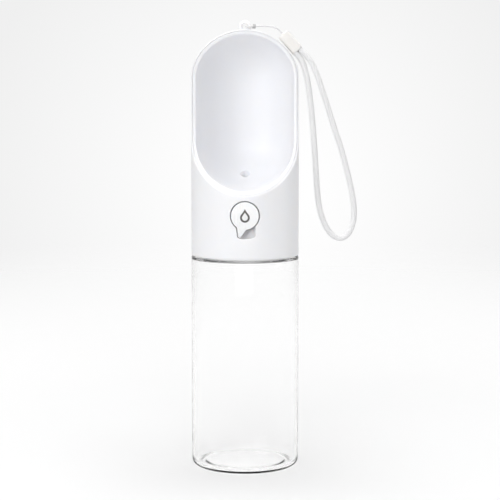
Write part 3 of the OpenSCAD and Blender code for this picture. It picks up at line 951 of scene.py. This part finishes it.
class BOTTLE_OT_stage(Operator):
    """Make the camera, the lamps, the floor and the materials"""

    bl_idname = "bottle.stage"
    bl_label = "Stage and materials"

    # Name, place, size and power of each lamp, and the point that all of them light
    LAMPS = (
        ("key", (-0.85, -1.0, 0.55), 0.8, 5.5),
        ("front", (-0.05, -1.42, 0.53), 1.1, 5.2),
        ("front_high", (-0.15, -0.75, 1.2), 0.7, 2.2),
        ("right", (1.3, -0.1, 0.4), 0.7, 2.4),
        ("top", (0.0, 0.1, 1.4), 1.0, 11.5),
    )
    AIM = Vector((0, 0, 0.16))
    FLOOR_REACH = 1.5
    WHITE = (1, 1, 1, 1)

    def execute(self, context):
        scene = context.scene
        make_materials(scene.bottle_colours)
        self.camera(scene, scene.bottle_stage)
        self.world(scene)
        self.lamps(scene)
        self.floor(scene)
        scene.view_settings.view_transform = "Standard"
        return {"FINISHED"}

    def camera(self, scene, sizes):
        """A camera where the photograph was taken from."""
        data = bpy.data.cameras.new("camera")
        data.lens = sizes.lens
        data.sensor_width = 36
        camera = bpy.data.objects.new("camera", data)
        camera.location = (sizes.sideways, -sizes.distance, sizes.height)
        camera.rotation_euler = (math.pi / 2 - sizes.pitch, 0, 0)
        scene.collection.objects.link(camera)
        scene.camera = camera

    def world(self, scene):
        """Soft light from all round. The camera, gloss and glass see it as a white background."""
        scene.world = bpy.data.worlds.new("studio")
        scene.world.use_nodes = True
        nodes = Nodes(scene.world.node_tree)
        aside = nodes.add(
            "ShaderNodeVectorMath", {"operation": "DISTANCE"},
            _0=nodes.add("ShaderNodeTexCoord").outputs["Generated"], _1=(0.01, 0.998, -0.06),
        )
        white = nodes.add("ShaderNodeMapRange", Value=aside.outputs["Value"], From_Min=0.03,
                          From_Max=0.2, To_Min=1.0, To_Max=0.87)
        strength = nodes.add("ShaderNodeMix", Factor=nodes.background_rays(), A=0.32, B=white)
        nodes.fill(nodes.tree.nodes["Background"], Color=self.WHITE, Strength=strength)

    def lamps(self, scene):
        """Large soft lamps."""
        for name, place, size, power in self.LAMPS:
            data = bpy.data.lights.new(name, "AREA")
            data.size = size
            data.energy = power
            lamp = bpy.data.objects.new(name, data)
            lamp.location = place
            lamp.rotation_euler = (self.AIM - Vector(place)).to_track_quat("-Z", "Y").to_euler()
            scene.collection.objects.link(lamp)

    def floor(self, scene):
        """White paper that fades into the white background and doesn't show from below."""
        shape = Shape()
        ends = (-self.FLOOR_REACH, self.FLOOR_REACH)
        shape.grid([[Vector((x, y, 0)) for x in ends] for y in ends])
        obj = bpy.data.objects.new("floor", shape.mesh("floor"))
        scene.collection.objects.link(obj)
        paper = Finish("floor_paper")
        obj.data.materials.append(paper.material)
        middle = paper.add("ShaderNodeVectorMath", {"operation": "LENGTH"}, _0=paper.place())
        far = middle.outputs["Value"]
        fade = paper.add("ShaderNodeMapRange", {"interpolation_type": "SMOOTHSTEP"}, Value=far,
                         From_Min=0.3, From_Max=1.4, To_Min=1.0, To_Max=0.0)
        below = paper.add("ShaderNodeNewGeometry").outputs["Backfacing"]
        above = paper.math("SUBTRACT", 1.0, below)
        lift = paper.math("ADD", paper.math("MULTIPLY", far, 0.42), 0.03)
        paper.set(
            Base_Color=(0.82, 0.82, 0.82, 1), Roughness=0.9, Specular_IOR_Level=0,
            Alpha=paper.math("MULTIPLY", fade, above), Emission_Color=self.WHITE,
            Emission_Strength=paper.math("MULTIPLY", paper.background_rays(), lift),
        )


class BOTTLE_OT_lanyard(Operator):
    """Make the string, the sleeve and the wrist loop"""

    bl_idname = "bottle.lanyard"
    bl_label = "Lanyard"

    # The string's route from the sleeve round the eyelet's ring, in millimetres: X, Y from
    # the eyelet's middle and Z above the head's top. It goes back the same way.
    STRING_OUT = [
        (21, -0.7, -0.95), (19.2, -0.7, 0.5), (16.5, -0.7, 1.6), (12.5, -0.7, 2.1), (8, -0.8, 2.1),
        (5, -1.3, 1.9), (2.7, -1.9, 1.7), (1.9, -1.8, 1.7), (1.3, -1.4, 1.7), (0.9, -0.7, 1.7),
        (0.7, 0, 1.7),
    ]
    # The loop's route from one exit of the sleeve to the other, in millimetres: X and Z
    # below the head's top
    LOOP_ROUTE = [
        (39, -18.5), (42.5, -26), (45.5, -34.5), (48.5, -43.5), (51.5, -53), (54.5, -62),
        (57.5, -71), (60, -80), (62.3, -89), (64.2, -98), (65.2, -106), (65, -113), (63.2, -119),
        (60.4, -122.7), (57, -124), (53.4, -122.8), (49.8, -119), (46.7, -113), (44.6, -106),
        (43.4, -98), (42.7, -89), (42.1, -80), (41.5, -71), (40.8, -62), (40, -53),
        (39, -43.5), (37.8, -34.5), (36.2, -26), (34.2, -19.5),
    ]
    STRING_APART = 0.0007
    STRING_WEAVE = {"Strands": 3.0, "Pitch": 0.0016, "Relief": 0.00012, "Step": 0.00012, "Sides": 14}
    LOOP_WEAVE = {"Pitch": 0.0021, "Relief": 0.00022, "Step": 0.0003, "Sides": 48}
    # X and lean of each turn of the hitch, its height above the head's top, and its reach
    HITCH_TURNS = ((0.0050, 0.35), (0.0058, 0.25), (0.0054, -0.5))
    HITCH_UP = 0.0019
    HITCH_THICK, HITCH_WIDE = 0.0009, 0.0018
    # Radius of the hitch's turns, as a share of the string's thickness
    HITCH_WIRE = 0.42
    # X and height above the head's top where the sleeve starts, and its lean
    SLEEVE_TOP = (0.02235, -0.00238)
    SLEEVE_LEAN = math.radians(48.5)
    # Rounding of the sleeve's ends, and the power that sets how square its section is
    SLEEVE_EASE = 0.0007
    SLEEVE_CORNER = 2.6

    def execute(self, context):
        sizes = context.scene.bottle_lanyard
        top = context.scene.bottle_head.top
        start = Vector((self.SLEEVE_TOP[0], EYELET.y, top + self.SLEEVE_TOP[1]))
        way = Vector((math.cos(self.SLEEVE_LEAN), 0, -math.sin(self.SLEEVE_LEAN)))
        across = Vector((math.sin(self.SLEEVE_LEAN), 0, math.cos(self.SLEEVE_LEAN)))
        end = start + way * sizes.sleeve_length
        hitch = self.hitch(sizes, top)
        sleeve = self.sleeve(sizes, start, way, across)
        tree = cord_tree()
        out = [Vector(p) / 1000 + Vector((0, EYELET.y, top)) for p in self.STRING_OUT]
        back = [Vector((p.x, 2 * EYELET.y - p.y, p.z)) for p in out[-2::-1]]
        apart = Vector((0, self.STRING_APART, 0))
        self.cord("lanyard_string", tree, [start - apart, *out, *back, start + apart], hitch,
                  sizes.string_thickness, self.STRING_WEAVE)
        hand = [Vector((x / 1000, EYELET.y, top + z / 1000)) for x, z in self.LOOP_ROUTE]
        side = across * (sizes.loop_thickness / 2)
        straight = way * sizes.loop_thickness
        self.cord("lanyard_loop", tree,
                  [end + side, end + side + straight, *hand, end - side + straight, end - side],
                  sleeve, sizes.loop_thickness, {**self.LOOP_WEAVE, "Strands": float(sizes.strands)})
        return {"FINISHED"}

    def smooth(self, route, step):
        """A smooth line through the route's points."""
        line = []
        for a, b, c, d in zip([route[0], *route], route, route[1:], [*route[2:], route[-1]]):
            count = max(1, round((c - b).length / step))
            for t in shares(count)[:-1]:
                line.append(0.5 * (2 * b + (c - a) * t + (2 * a - 5 * b + 4 * c - d) * t**2
                                   + (3 * b - a - 3 * c + d) * t**3))
        return line + [route[-1]]

    def cord(self, node, tree, route, other, thick, weave):
        """A braided cord that stands for a node. The piece on it, other, is not used."""
        line = self.smooth(route, thick / 2)
        curve = bpy.data.curves.new(node, "CURVE")
        curve.dimensions = "3D"
        spline = curve.splines.new("POLY")
        spline.points.add(len(line) - 1)
        for point, p in zip(spline.points, line):
            point.co = (*p, 1)
        obj = grown(node + "_cord", tree, "cord", "lanyard", node, along=curve, Thickness=thick,
                    **weave)

    def hitch(self, sizes, top):
        """The turns of string that hold its two strands together beside the eyelet."""
        shape = Shape()
        wire = sizes.string_thickness * self.HITCH_WIRE
        for x, lean in self.HITCH_TURNS:
            middle = Vector((x, EYELET.y, top + self.HITCH_UP))
            rows = []
            for a in round_turn(48):
                c, s = math.cos(a), math.sin(a)
                centre = middle + Vector((lean * s * self.HITCH_THICK, c * self.HITCH_WIDE,
                                          s * self.HITCH_THICK))
                side = Vector((0, c, s))
                rows.append([centre + wire * (math.cos(b) * side + math.sin(b) * Vector((1, 0, 0)))
                             for b in round_turn(12)])
            shape.grid(rows + rows[:1], closed=True)
        return piece("string_hitch", shape, "cord", "lanyard")

    def sleeve(self, sizes, start, way, across):
        """An oval tube with rounded ends."""
        ease, far, corner = self.SLEEVE_EASE, sizes.sleeve_length, self.SLEEVE_CORNER
        stations = [(0, ease * 1.3), (0, ease)]
        for t in shares(5)[1:]:
            a = math.pi / 2 * t
            stations.append((ease * (1 - math.cos(a)), ease * (1 - math.sin(a))))
        stations += [(far - along, drawn) for along, drawn in stations[::-1]]
        rows = []
        for along, drawn in stations:
            row = []
            for a in round_turn(64):
                c, s = math.cos(a), math.sin(a)
                scale = (abs(c) ** corner + abs(s) ** corner) ** (-1 / corner)
                x = scale * c * (sizes.sleeve_width / 2 - drawn)
                y = scale * s * (sizes.sleeve_depth / 2 - drawn)
                row.append(start + way * along + across * x + Vector((0, y, 0)))
            rows.append(row)
        shape = Shape()
        shape.grid(rows, closed=True)
        shape.cap(rows[0], start)
        shape.cap(rows[-1], start + way * far)
        return piece("lanyard_sleeve_tube", shape, "sleeve", "lanyard", "lanyard_sleeve")


class BOTTLE_OT_bottle(Operator):
    """Make the clear bottle and its thread"""

    bl_idname = "bottle.bottle"
    bl_label = "Clear bottle"

    STEPS = 14
    # Degrees by which the punt's two arcs stop short of the roundings that end them
    SHORT = 2
    PUNT_ROUND, FOOT_ROUND, FOOT_OUT = 0.0011, 0.0012, 0.0015
    SHOULDER_ROUND, NECK_ROUND, MOUTH_ROUND, CEILING_ROUND = 0.0007, 0.0006, 0.0005, 0.0008
    # Height of the thread's start above the shoulder, and how deep its root is sunk
    THREAD_UP = 0.0019
    THREAD_SINK = 0.0001

    def execute(self, context):
        s = context.scene.bottle_bottle
        piece("clear_bottle", turned(self.outline(s), 192), "clear", "bottle", "bottle")
        screw_thread(
            "neck_thread", "clear", "bottle", s, Start=s.shoulder + self.THREAD_UP,
            Radius=s.neck_radius + s.thread_depth / 2 - self.THREAD_SINK,
            Depth=s.thread_depth + 2 * self.THREAD_SINK, Root=THREAD_ROOT, Crest=THREAD_CREST,
        )
        return {"FINISHED"}

    def outline(self, s):
        """Half of the bottle's section, from the axis under the base to the axis inside."""
        ball = (s.punt_radius**2 + s.punt_height**2) / (2 * s.punt_height)
        centre = (0, s.punt_height - ball)
        r, b, floor = BODY_RADIUS, s.base_round, s.wall
        edge = math.degrees(math.acos(s.punt_radius / ball))
        meet = math.degrees(math.asin((floor - centre[1]) / (ball + s.wall)))
        under = arc(centre, ball, 90, edge + self.SHORT, self.STEPS)
        corner = arc((r - b, b), b, -90, 0, self.STEPS)
        dome = arc(centre, ball + s.wall, meet + self.SHORT, 90, self.STEPS)
        mouth, inside, ceiling = s.neck_radius - s.wall, r - s.wall, s.shoulder - s.wall
        walls = [
            (r, s.shoulder, self.SHOULDER_ROUND), (s.neck_radius, s.shoulder, self.NECK_ROUND),
            (s.neck_radius, NECK_TOP, self.MOUTH_ROUND), (mouth, NECK_TOP, self.MOUTH_ROUND),
            (mouth, ceiling, self.MOUTH_ROUND), (inside, ceiling, self.CEILING_ROUND),
            (inside, floor, b), (dome[0].x + self.FOOT_OUT, floor, self.FOOT_ROUND),
        ]
        under, corner, dome = ([(p.x, p.y, 0) for p in line] for line in (under, corner, dome))
        return rounded([*under, (s.punt_radius, 0, self.PUNT_ROUND), *corner, *walls, *dome])


class BOTTLE_OT_casing(Operator):
    """Make the head's casing, with the button's well and the eyelet"""

    bl_idname = "bottle.casing"
    bl_label = "Head casing"

    # Points up each side of the rim, rows below it, columns round the back, and points of the
    # well for each one of the opened cells' edge
    COUNT, ROWS, BACK, TIMES = 150, 40, 44, 3
    CHAMFER = 0.0006
    # The casing's part of the rim: its width, the edge of it, the step down to the bowl's
    # flange, and how much of the rim's rounding lies on the rim's face
    LIP = 0.00085
    LIP_EDGE = 0.0001
    REBATE = 0.0013
    ROUND_SHARE = 0.6
    # How far the opened cells reach beside and below the button's centre
    WELL_SIDE, WELL_LOW = 0.0125, 0.0185
    # Rounding of the well's edge, and the border of even faces round it, which is at most a
    # share of the way to the opened cells' edge
    WELL_EDGE = 0.00035
    WELL_BORDER, BORDER_SHARE = 0.0009, 0.45
    WELL_DEPTH, WELL_WALL, WELL_FLOOR = 0.0042, 0.0014, 0.002
    HUB_ROOM = 0.001
    PLUNGER_HOLE = 0.0048
    EYELET_WIRE, EYELET_RING = 0.00115, 0.00265
    # The eyelet's pad, as radius, height above the head's top and rounding
    PAD = [(0, 0.00035, 0), (0.0030, 0.00035, 0.0012), (0.0039, -0.0012, 0.0003), (0, -0.0012, 0)]

    def execute(self, context):
        sizes = context.scene.bottle_head
        form = HeadForm(sizes)
        edge, inner = rim_edges(form, self.COUNT)
        shape = Shape()
        outer_loop = rim_outside(form, edge, sizes.rim_round, 0)
        strip = [self.lip(form, sizes, *points) for points in zip(edge, inner, outer_loop)]
        centred(strip[0] + strip[-1])
        shape.both(strip)
        bottom = form.bottom + self.CHAMFER
        sides = [
            casing_grids(form, loop, inset, bottom, self.ROWS, self.BACK)
            for loop, inset in ((outer_loop, 0), ([line[-1] for line in strip], sizes.wall))
        ]
        span, low = self.well_cells(sides[0][0])
        for front, lower, upper in sides:
            for k in range(len(front) - 1):
                high = low if k < span else self.ROWS
                shape.both([column[:high + 1] for column in front[k:k + 2]])
            shape.both(lower)
            shape.both(upper)
        self.foot(shape, form, sizes, sides)
        loops = [self.well_loop(front, span, low) for front, _, _ in sides]
        self.well(shape, context.scene.bottle_button, sizes, *loops)
        piece("head_casing", shape, "shell", "head", "head_shell")
        self.eyelet(sizes)
        return {"FINISHED"}

    def lip(self, form, sizes, p, q, start):
        """The casing's edge at one place, from the outer surface round to the inner surface."""
        way = (q - p).normalized()
        face = form.at_rim(p + way * sizes.rim_round * self.ROUND_SHARE)
        line = eased(start, form.at_rim(p), face, 6)
        line.append(form.at_rim(p + way * (self.LIP - self.LIP_EDGE)))
        line += [form.at_rim(p + way * self.LIP, depth) for depth in (self.LIP_EDGE, self.REBATE)]
        return [*line, form.onto(line[-1], sizes.wall)]

    def well_cells(self, front):
        """The columns and rows of the front that the button's well opens."""
        span = next(k for k, column in enumerate(front) if column[-1].x > self.WELL_SIDE)
        low = max(m for m, p in enumerate(front[0]) if p.z < BUTTON_HEIGHT - self.WELL_LOW)
        return span, low

    def well_loop(self, front, span, low):
        """The opened cells' edge, once round."""
        right = [column[low] for column in front[:span + 1]]
        right += front[span][low + 1:]
        right += [column[-1] for column in front[:span][::-1]]
        return right + [other_side(p) for p in right[-2:0:-1]]

    def foot(self, shape, form, sizes, sides):
        """The casing's lower edge, with a chamfer outside."""
        outside, inside = ([column[0] for column in front + lower[1:]] for front, lower, _ in sides)
        c, wall = self.CHAMFER, sizes.wall
        rows = []
        for p, q in zip(outside, inside):
            out = Vector((p.x, p.y, 0)).normalized()
            profile = ((0.1 * c, 0.7 * c), (0.7 * c, 0.1 * c), (c, 0), (wall - 0.4 * c, 0),
                       (wall - 0.1 * c, 0.1 * c))
            rows.append([p, *(out * (form.radius - drawn) + Vector((0, 0, form.bottom + up))
                              for drawn, up in profile), q])
        centred(rows[0] + rows[-1])
        shape.both(rows)

    def well(self, shape, button, sizes, outer, inner):
        """The button's well, from the outer surface in and round to the inner surface."""
        turn = math.radians(JOINTS["lock_turn"]["range_deg"][1])
        outline = pointer_outline(button, button.lean, button.lean + turn, button.gap)
        flat = [Vector((p.x, p.z - BUTTON_HEIGHT)) for p in outer]
        spread = [mix(a, b, k / self.TIMES) for a, b in zip(flat, flat[1:] + flat[:1])
                  for k in range(self.TIMES)]
        angles = [math.atan2(p.y, p.x) for p in spread]
        reach = button_reach(button, angles, outline, button.gap)
        wider = lambda extra: [r + extra for r in reach]
        skin = lambda x, r: -math.sqrt(BODY_RADIUS**2 - x**2)
        lining = lambda x, r: -math.sqrt((BODY_RADIUS - sizes.wall) ** 2 - x**2)
        edge = self.WELL_EDGE
        shelf = BUTTON_FACE + self.WELL_DEPTH
        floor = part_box("button")[1].y + self.HUB_ROOM
        back = floor + self.WELL_FLOOR
        bore = button.radius + button.gap - BUTTON_EASE
        border = [min(r + self.WELL_BORDER, mix(r, p.length, self.BORDER_SHARE))
                  for r, p in zip(reach, spread)]
        steps = [(border, skin), (wider(edge), skin)]
        steps += [(wider(edge * (1 - t) ** 2), lambda x, r, sunk=edge * t**2: skin(x, r) + sunk)
                  for t in shares(4)[1:]]
        steps += [(reach, shelf), (bore, shelf), (bore, floor), (self.PLUNGER_HOLE, floor),
                  (self.PLUNGER_HOLE, back), (wider(self.WELL_WALL), back),
                  (wider(self.WELL_WALL), lining)]
        rings = [button_ring(angles, *step) for step in steps]
        shape.grid(rings, closed=True)
        shape.fan(outer, rings[0])
        shape.fan(inner, rings[-1])

    def eyelet(self, sizes):
        """The ring on top, on its low pad just behind the rim."""
        wire, ring = self.EYELET_WIRE, self.EYELET_RING
        section = [(ring + wire * math.cos(a), wire * math.sin(a)) for a in round_turn(24)]
        place = Matrix.Translation(EYELET) @ Matrix.Rotation(math.pi / 2, 4, "X")
        piece("eyelet_ring", turned(section + section[:1], 64, place), "shell", "head")
        place = Matrix.Translation((0, EYELET.y, sizes.top))
        piece("eyelet_pad", turned(rounded(self.PAD), 64, place), "shell", "head")


class BOTTLE_OT_bowl(Operator):
    """Make the drinking bowl with its rim and its water outlet"""

    bl_idname = "bottle.bowl"
    bl_label = "Drinking bowl"

    # Points up each side of the rim, and points from the rim to the middle of the bowl's back
    COUNT, ACROSS = 150, 56
    # The rim's groove beside the casing, its rounded edge, its flange's depth and its crown,
    # and the most of its width that the rounding beside the bowl takes
    GROOVE = 0.00015
    EDGE = 0.0003
    FLANGE = 0.0012
    CROWN = 0.0002
    LIP_SHARE = 0.4
    # Where the wall's outer side starts behind the flange
    BEHIND = 0.0001
    # The outlet: its even border in the bowl's faces, its rounded edge and the flat round it
    DRAIN_BORDER = 0.0016
    DRAIN_EDGE, DRAIN_FLAT = 0.0004, 0.0006
    # How far the cup's foot is drawn in, and its depth
    CUP_FOOT = [(0.0001, 0.0017), (0.0004, 0.0022)]
    # Radius and depth of the rings of the outlet's passage, and of the spigot behind the bowl
    PASSAGE = [(0.0019, 0.0023), (0.0016, 0.0026), (0.0016, 0.005)]
    SPIGOT = [(0.0052, 0), (0.0046, 0.0003), (0.0045, 0.0052), (0.0042, 0.0055)]

    def execute(self, context):
        sizes = context.scene.bottle_head
        form = HeadForm(sizes)
        edge, inner = rim_edges(form, self.COUNT)
        strip = [self.rim(form, sizes, p, q) for p, q in zip(edge, inner)]
        centred(strip[0] + strip[-1])
        shape = Shape()
        shape.both(strip)
        self.liner(shape, form, sizes, [line[-1] for line in strip], 0, self.cup(sizes))
        self.liner(shape, form, sizes, [line[0] for line in strip], sizes.bowl_wall, self.SPIGOT)
        piece("bowl_liner", shape, "bowl", "head", "drinking_bowl")
        return {"FINISHED"}

    def rim(self, form, sizes, p, q):
        """The white rim at one place, from behind its flange over its crown to the bowl's wall."""
        wide = (q - p).length
        way = (q - p).normalized()
        at = lambda run, depth: form.at_rim(p + way * run, depth)
        start = BOTTLE_OT_casing.LIP + self.GROOVE
        crown = start + self.EDGE
        reach = min(sizes.lip_round, self.LIP_SHARE * wide)
        line = [self.outer_point(form, q, sizes.bowl_wall), at(start, self.FLANGE)]
        line += eased(at(start, self.EDGE), at(start, 0), at(crown, 0), 4)
        line += [at(mix(crown, wide - reach, t), -self.CROWN * math.sin(math.pi * t))
                 for t in shares(6)[1:]]
        wall = self.wall_point(form, q, sizes.lip_round)
        return line + eased(at(wide - reach, 0), form.at_rim(q), wall, 8)[1:]

    def wall_point(self, form, q, reach):
        """The point of the bowl's wall a reach behind the rim's inner edge."""
        place, _ = form.rim(q.y)
        wide, y = q.x, place.x + reach
        if y <= 0:
            return Vector((wide, y, place.y))
        if place.y < form.spring:
            return polar(wide, reach / wide, place.y)
        return form.onto(Vector((wide, y, place.y)), form.rim_width)

    def outer_point(self, form, q, wall):
        """The point of the wall's outer side just behind the flange."""
        place, _ = form.rim(q.y)
        out = form.bowl_normal(q.x, place.y) * wall
        wide, z = max(q.x + out.x, 0), place.y + out.y
        front, normal = form.rim(form.run_at(z))
        y = front.x + (self.FLANGE + self.BEHIND) / -normal.x
        if y <= 0:
            return Vector((wide, y, z))
        if z > form.spring:
            return form.onto(Vector((wide, y, z)), form.rim_width - wall)
        return polar(wide, y / wide, z)

    def row(self, p):
        """Points at equal steps from the rim round to the middle of the bowl's back."""
        wide = math.hypot(p.x, p.y) if p.y > 0 else p.x
        straight = max(-p.y, 0)
        begin = math.atan2(p.y, p.x) if p.y > 0 else 0
        full = straight + wide * (math.pi / 2 - begin)
        out = []
        for j in range(self.ACROSS + 1):
            t = full * j / self.ACROSS
            if t <= straight:
                out.append(Vector((wide, p.y + t, p.z)))
            else:
                out.append(polar(wide, begin + (t - straight) / wide, p.z))
        out[0] = p.copy()
        out[-1].x = 0
        return out

    def liner(self, shape, form, sizes, starts, wall, rings):
        """One side of the bowl's wall, opened where the outlet passes through."""
        rows = [self.row(p) for p in starts]
        centred(rows[0] + rows[-1])
        radius = form.bowl_radius + wall
        centre = Vector((0, 0, form.bowl_z))
        lean = sizes.drain_lean
        axis = Vector((0, math.sin(lean), -math.cos(lean)))
        up = Vector((0, math.cos(lean), math.sin(lean)))
        middle = centre + axis * radius
        clear = rings[0][0] + self.DRAIN_BORDER
        heights = [(row[-1] - middle).dot(up) for row in rows]
        low = max(k for k in range(len(rows) // 2) if heights[k] < -clear)
        high = next(k for k, height in enumerate(heights) if height > clear)
        side = next(j for j in range(self.ACROSS, 0, -1) if rows[low][j].x > clear)
        for k in range(len(rows) - 1):
            stop = side if low <= k < high else self.ACROSS
            shape.both([row[:stop + 1] for row in rows[k:k + 2]])
        right = [*rows[low][:side - 1:-1], *(rows[k][side] for k in range(low + 1, high + 1)),
                 *rows[high][side + 1:]]
        loop = right + [other_side(p) for p in right[-2:0:-1]]
        angles = []
        for p, after in zip(loop, loop[1:] + loop[:1]):
            for t in (0, 0.5):
                q = mix(p, after, t) - middle
                angles.append(math.atan2(q.dot(up), q.x))
        middles = [centre + axis * (math.sqrt(radius**2 - r**2) + depth) for r, depth in rings]
        made = [
            [middle + r * (Vector((math.cos(a), 0, 0)) + up * math.sin(a)) for a in angles]
            for (r, _), middle in zip(rings, middles)
        ]
        shape.fan(loop, made[0])
        shape.grid(made, closed=True)
        shape.cap(made[-1], middles[-1])

    def cup(self, sizes):
        """Radius and depth of the outlet's rings, from the bowl's surface in."""
        r, ease = sizes.drain_radius, self.DRAIN_EDGE
        rings = [(r + ease + self.DRAIN_FLAT, 0)]
        rings += [(r + ease * (1 - t) ** 2, ease * t**2) for t in shares(4)]
        rings += [(r - drawn, depth) for drawn, depth in self.CUP_FOOT]
        return rings + self.PASSAGE


class BOTTLE_OT_button(Operator):
    """Make the push button and the drop on it"""

    bl_idname = "bottle.button"
    bl_label = "Button and drop"

    # Rounding of the cap's edge, how far its face lies in, the cap's and the round body's
    # thickness, and the radius of the hub on the plunger
    EDGE = 0.00045
    SUNK = 0.00003
    CAP_THICK, BODY_THICK = 0.0016, 0.0020
    HUB = 0.0042
    # The rings of the domed face, as shares of its reach
    FACE_RINGS = (0.1, 0.25, 0.4, 0.55, 0.7, 0.82, 0.92, 1)
    # The section of the drop's inlay: shares of its line's width, and heights above the face
    INLAY = ((0, -0.0004), (0, 0.000005), (0.1, 0.00002), (0.5, 0.000022), (0.9, 0.00002),
             (1, 0.000005), (1, -0.0004))

    def execute(self, context):
        sizes = context.scene.bottle_button
        self.cap(sizes)
        self.drop(sizes)
        return {"FINISHED"}

    def face(self, sizes, r):
        """Place along Y of the domed face at a distance from its centre."""
        return BUTTON_FACE + self.SUNK + r * r / (2 * sizes.dome)

    def cap(self, sizes):
        """The cap with its pointer, the round body behind it and the hub on the plunger."""
        angles = round_turn(360)
        outline = pointer_outline(sizes, sizes.lean, sizes.lean, 0)
        reach = button_reach(sizes, angles, outline, 0)
        e, hub = self.EDGE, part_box("button")[1].y
        shoulder = BUTTON_FACE + self.CAP_THICK
        body, back = sizes.radius - BUTTON_EASE, shoulder + self.BODY_THICK
        steps = [([(r - e) * t for r in reach], lambda x, r: self.face(sizes, r))
                 for t in self.FACE_RINGS]
        steps += [([r - e * (1 - t) ** 2 for r in reach],
                   lambda x, r, sunk=e * t**2: self.face(sizes, r) + sunk) for t in shares(4)[1:]]
        steps += [(reach, shoulder), (body, shoulder), (body, back), (self.HUB, back), (self.HUB, hub)]
        rings = [button_ring(angles, *step) for step in steps]
        shape = Shape()
        shape.grid(rings, closed=True)
        shape.cap(rings[0], Vector((0, self.face(sizes, 0), BUTTON_HEIGHT)))
        shape.cap(rings[-1], Vector((0, hub, BUTTON_HEIGHT)))
        piece("button_cap", shape, "button", "button", "button")

    def drop(self, sizes):
        """The drop's outline, as a thin inlay."""
        lean = math.asin(sizes.drop / sizes.drop_point)
        start, end = math.degrees(math.pi - lean), math.degrees(2 * math.pi + lean)
        rows = []
        for share, rise in self.INLAY:
            r = sizes.drop - share * sizes.drop_line
            points = [Vector((0, r / math.sin(lean))), *arc((0, 0), r, start, end, 60)]
            low = [p - Vector((0, sizes.drop_down)) for p in points]
            rows.append([Vector((p.x, self.face(sizes, p.length) - rise, BUTTON_HEIGHT + p.y))
                         for p in low])
        shape = Shape()
        shape.grid(rows + rows[:1], closed=True)
        piece("drop_inlay", shape, "mark", "button", "drop_mark")


class BOTTLE_OT_inner(Operator):
    """Finish the inner parts: the collar, the valve and the seals"""

    bl_idname = "bottle.inner"
    bl_label = "Inner parts"

    FINISHES = {
        "inner": ("threaded_collar", "valve_housing", "rear_plug", "valve_plunger", "poppet_holder"),
        "silicone": ("neck_seal", "inlet_gasket", "outlet_gasket", "poppet_seal"),
        "rubber": ("rear_plug_seal", "plunger_seals"),
        "steel": ("housing_screws", "poppet_screw"),
    }
    # Height of the thread's start above the bottle's shoulder, and its distance from the neck
    THREAD_UP, THREAD_OUT = 0.0039, 0.0009
    SPRING_WIRE, SPRING_TURNS = 0.0007, 6.0

    def execute(self, context):
        for finish, nodes in self.FINISHES.items():
            for node in nodes:
                dress(node, finish)
        s = context.scene.bottle_bottle
        screw_thread(
            "collar_thread", "inner", "head", s, Start=s.shoulder + self.THREAD_UP,
            Radius=s.neck_radius + self.THREAD_OUT, Depth=s.thread_depth, Root=THREAD_CREST,
            Crest=THREAD_ROOT,
        )
        self.spring()
        return {"FINISHED"}

    def spring(self):
        """The valve's spring, made at the length of its node; the real spring shortens as the button is
        pressed, which this coil doesn't do.
        """
        low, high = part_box("valve_spring")
        wire = self.SPRING_WIRE
        long = high.y - low.y
        coil = grown(
            "spring_coil", coil_tree(), "steel", "head", "valve_spring", Radius=high.x - wire / 2,
            Wire=wire, Turns=self.SPRING_TURNS, Travel=long - wire,
            Place=(0.0, low.y + wire / 2, BUTTON_HEIGHT),
        )
        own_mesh(coil)


class BOTTLE_PT_panel(Panel):
    """Lists the operators that build the bottle"""

    bl_label = "Travel Water Bottle"
    bl_idname = "BOTTLE_PT_panel"
    bl_space_type = "VIEW_3D"
    bl_region_type = "UI"
    bl_category = "Bottle"

    def draw(self, context):
        for operator in OPERATORS:
            self.layout.operator(operator.bl_idname)


GROUPS = {
    "bottle_bottle": BottleSizes,
    "bottle_head": HeadSizes,
    "bottle_button": ButtonSizes,
    "bottle_lanyard": LanyardSizes,
    "bottle_stage": StageSizes,
    "bottle_colours": Colours,
}
OPERATORS = (
    BOTTLE_OT_stage,
    BOTTLE_OT_lanyard,
    BOTTLE_OT_bottle,
    BOTTLE_OT_casing,
    BOTTLE_OT_bowl,
    BOTTLE_OT_button,
    BOTTLE_OT_inner,
)


def register():
    for group in GROUPS.values():
        bpy.utils.register_class(group)
    for name, group in GROUPS.items():
        setattr(bpy.types.Scene, name, PointerProperty(type=group))
    for operator in OPERATORS:
        bpy.utils.register_class(operator)
    bpy.utils.register_class(BOTTLE_PT_panel)


def unregister():
    bpy.utils.unregister_class(BOTTLE_PT_panel)
    for operator in reversed(OPERATORS):
        bpy.utils.unregister_class(operator)
    for name, group in GROUPS.items():
        delattr(bpy.types.Scene, name)
        bpy.utils.unregister_class(group)


def main():
    register()
    bpy.ops.bottle.stage()
    bpy.ops.bottle.lanyard()
    bpy.ops.bottle.bottle()
    bpy.ops.bottle.casing()
    bpy.ops.bottle.bowl()
    bpy.ops.bottle.button()
    bpy.ops.bottle.inner()


if __name__ == "__main__":
    main()
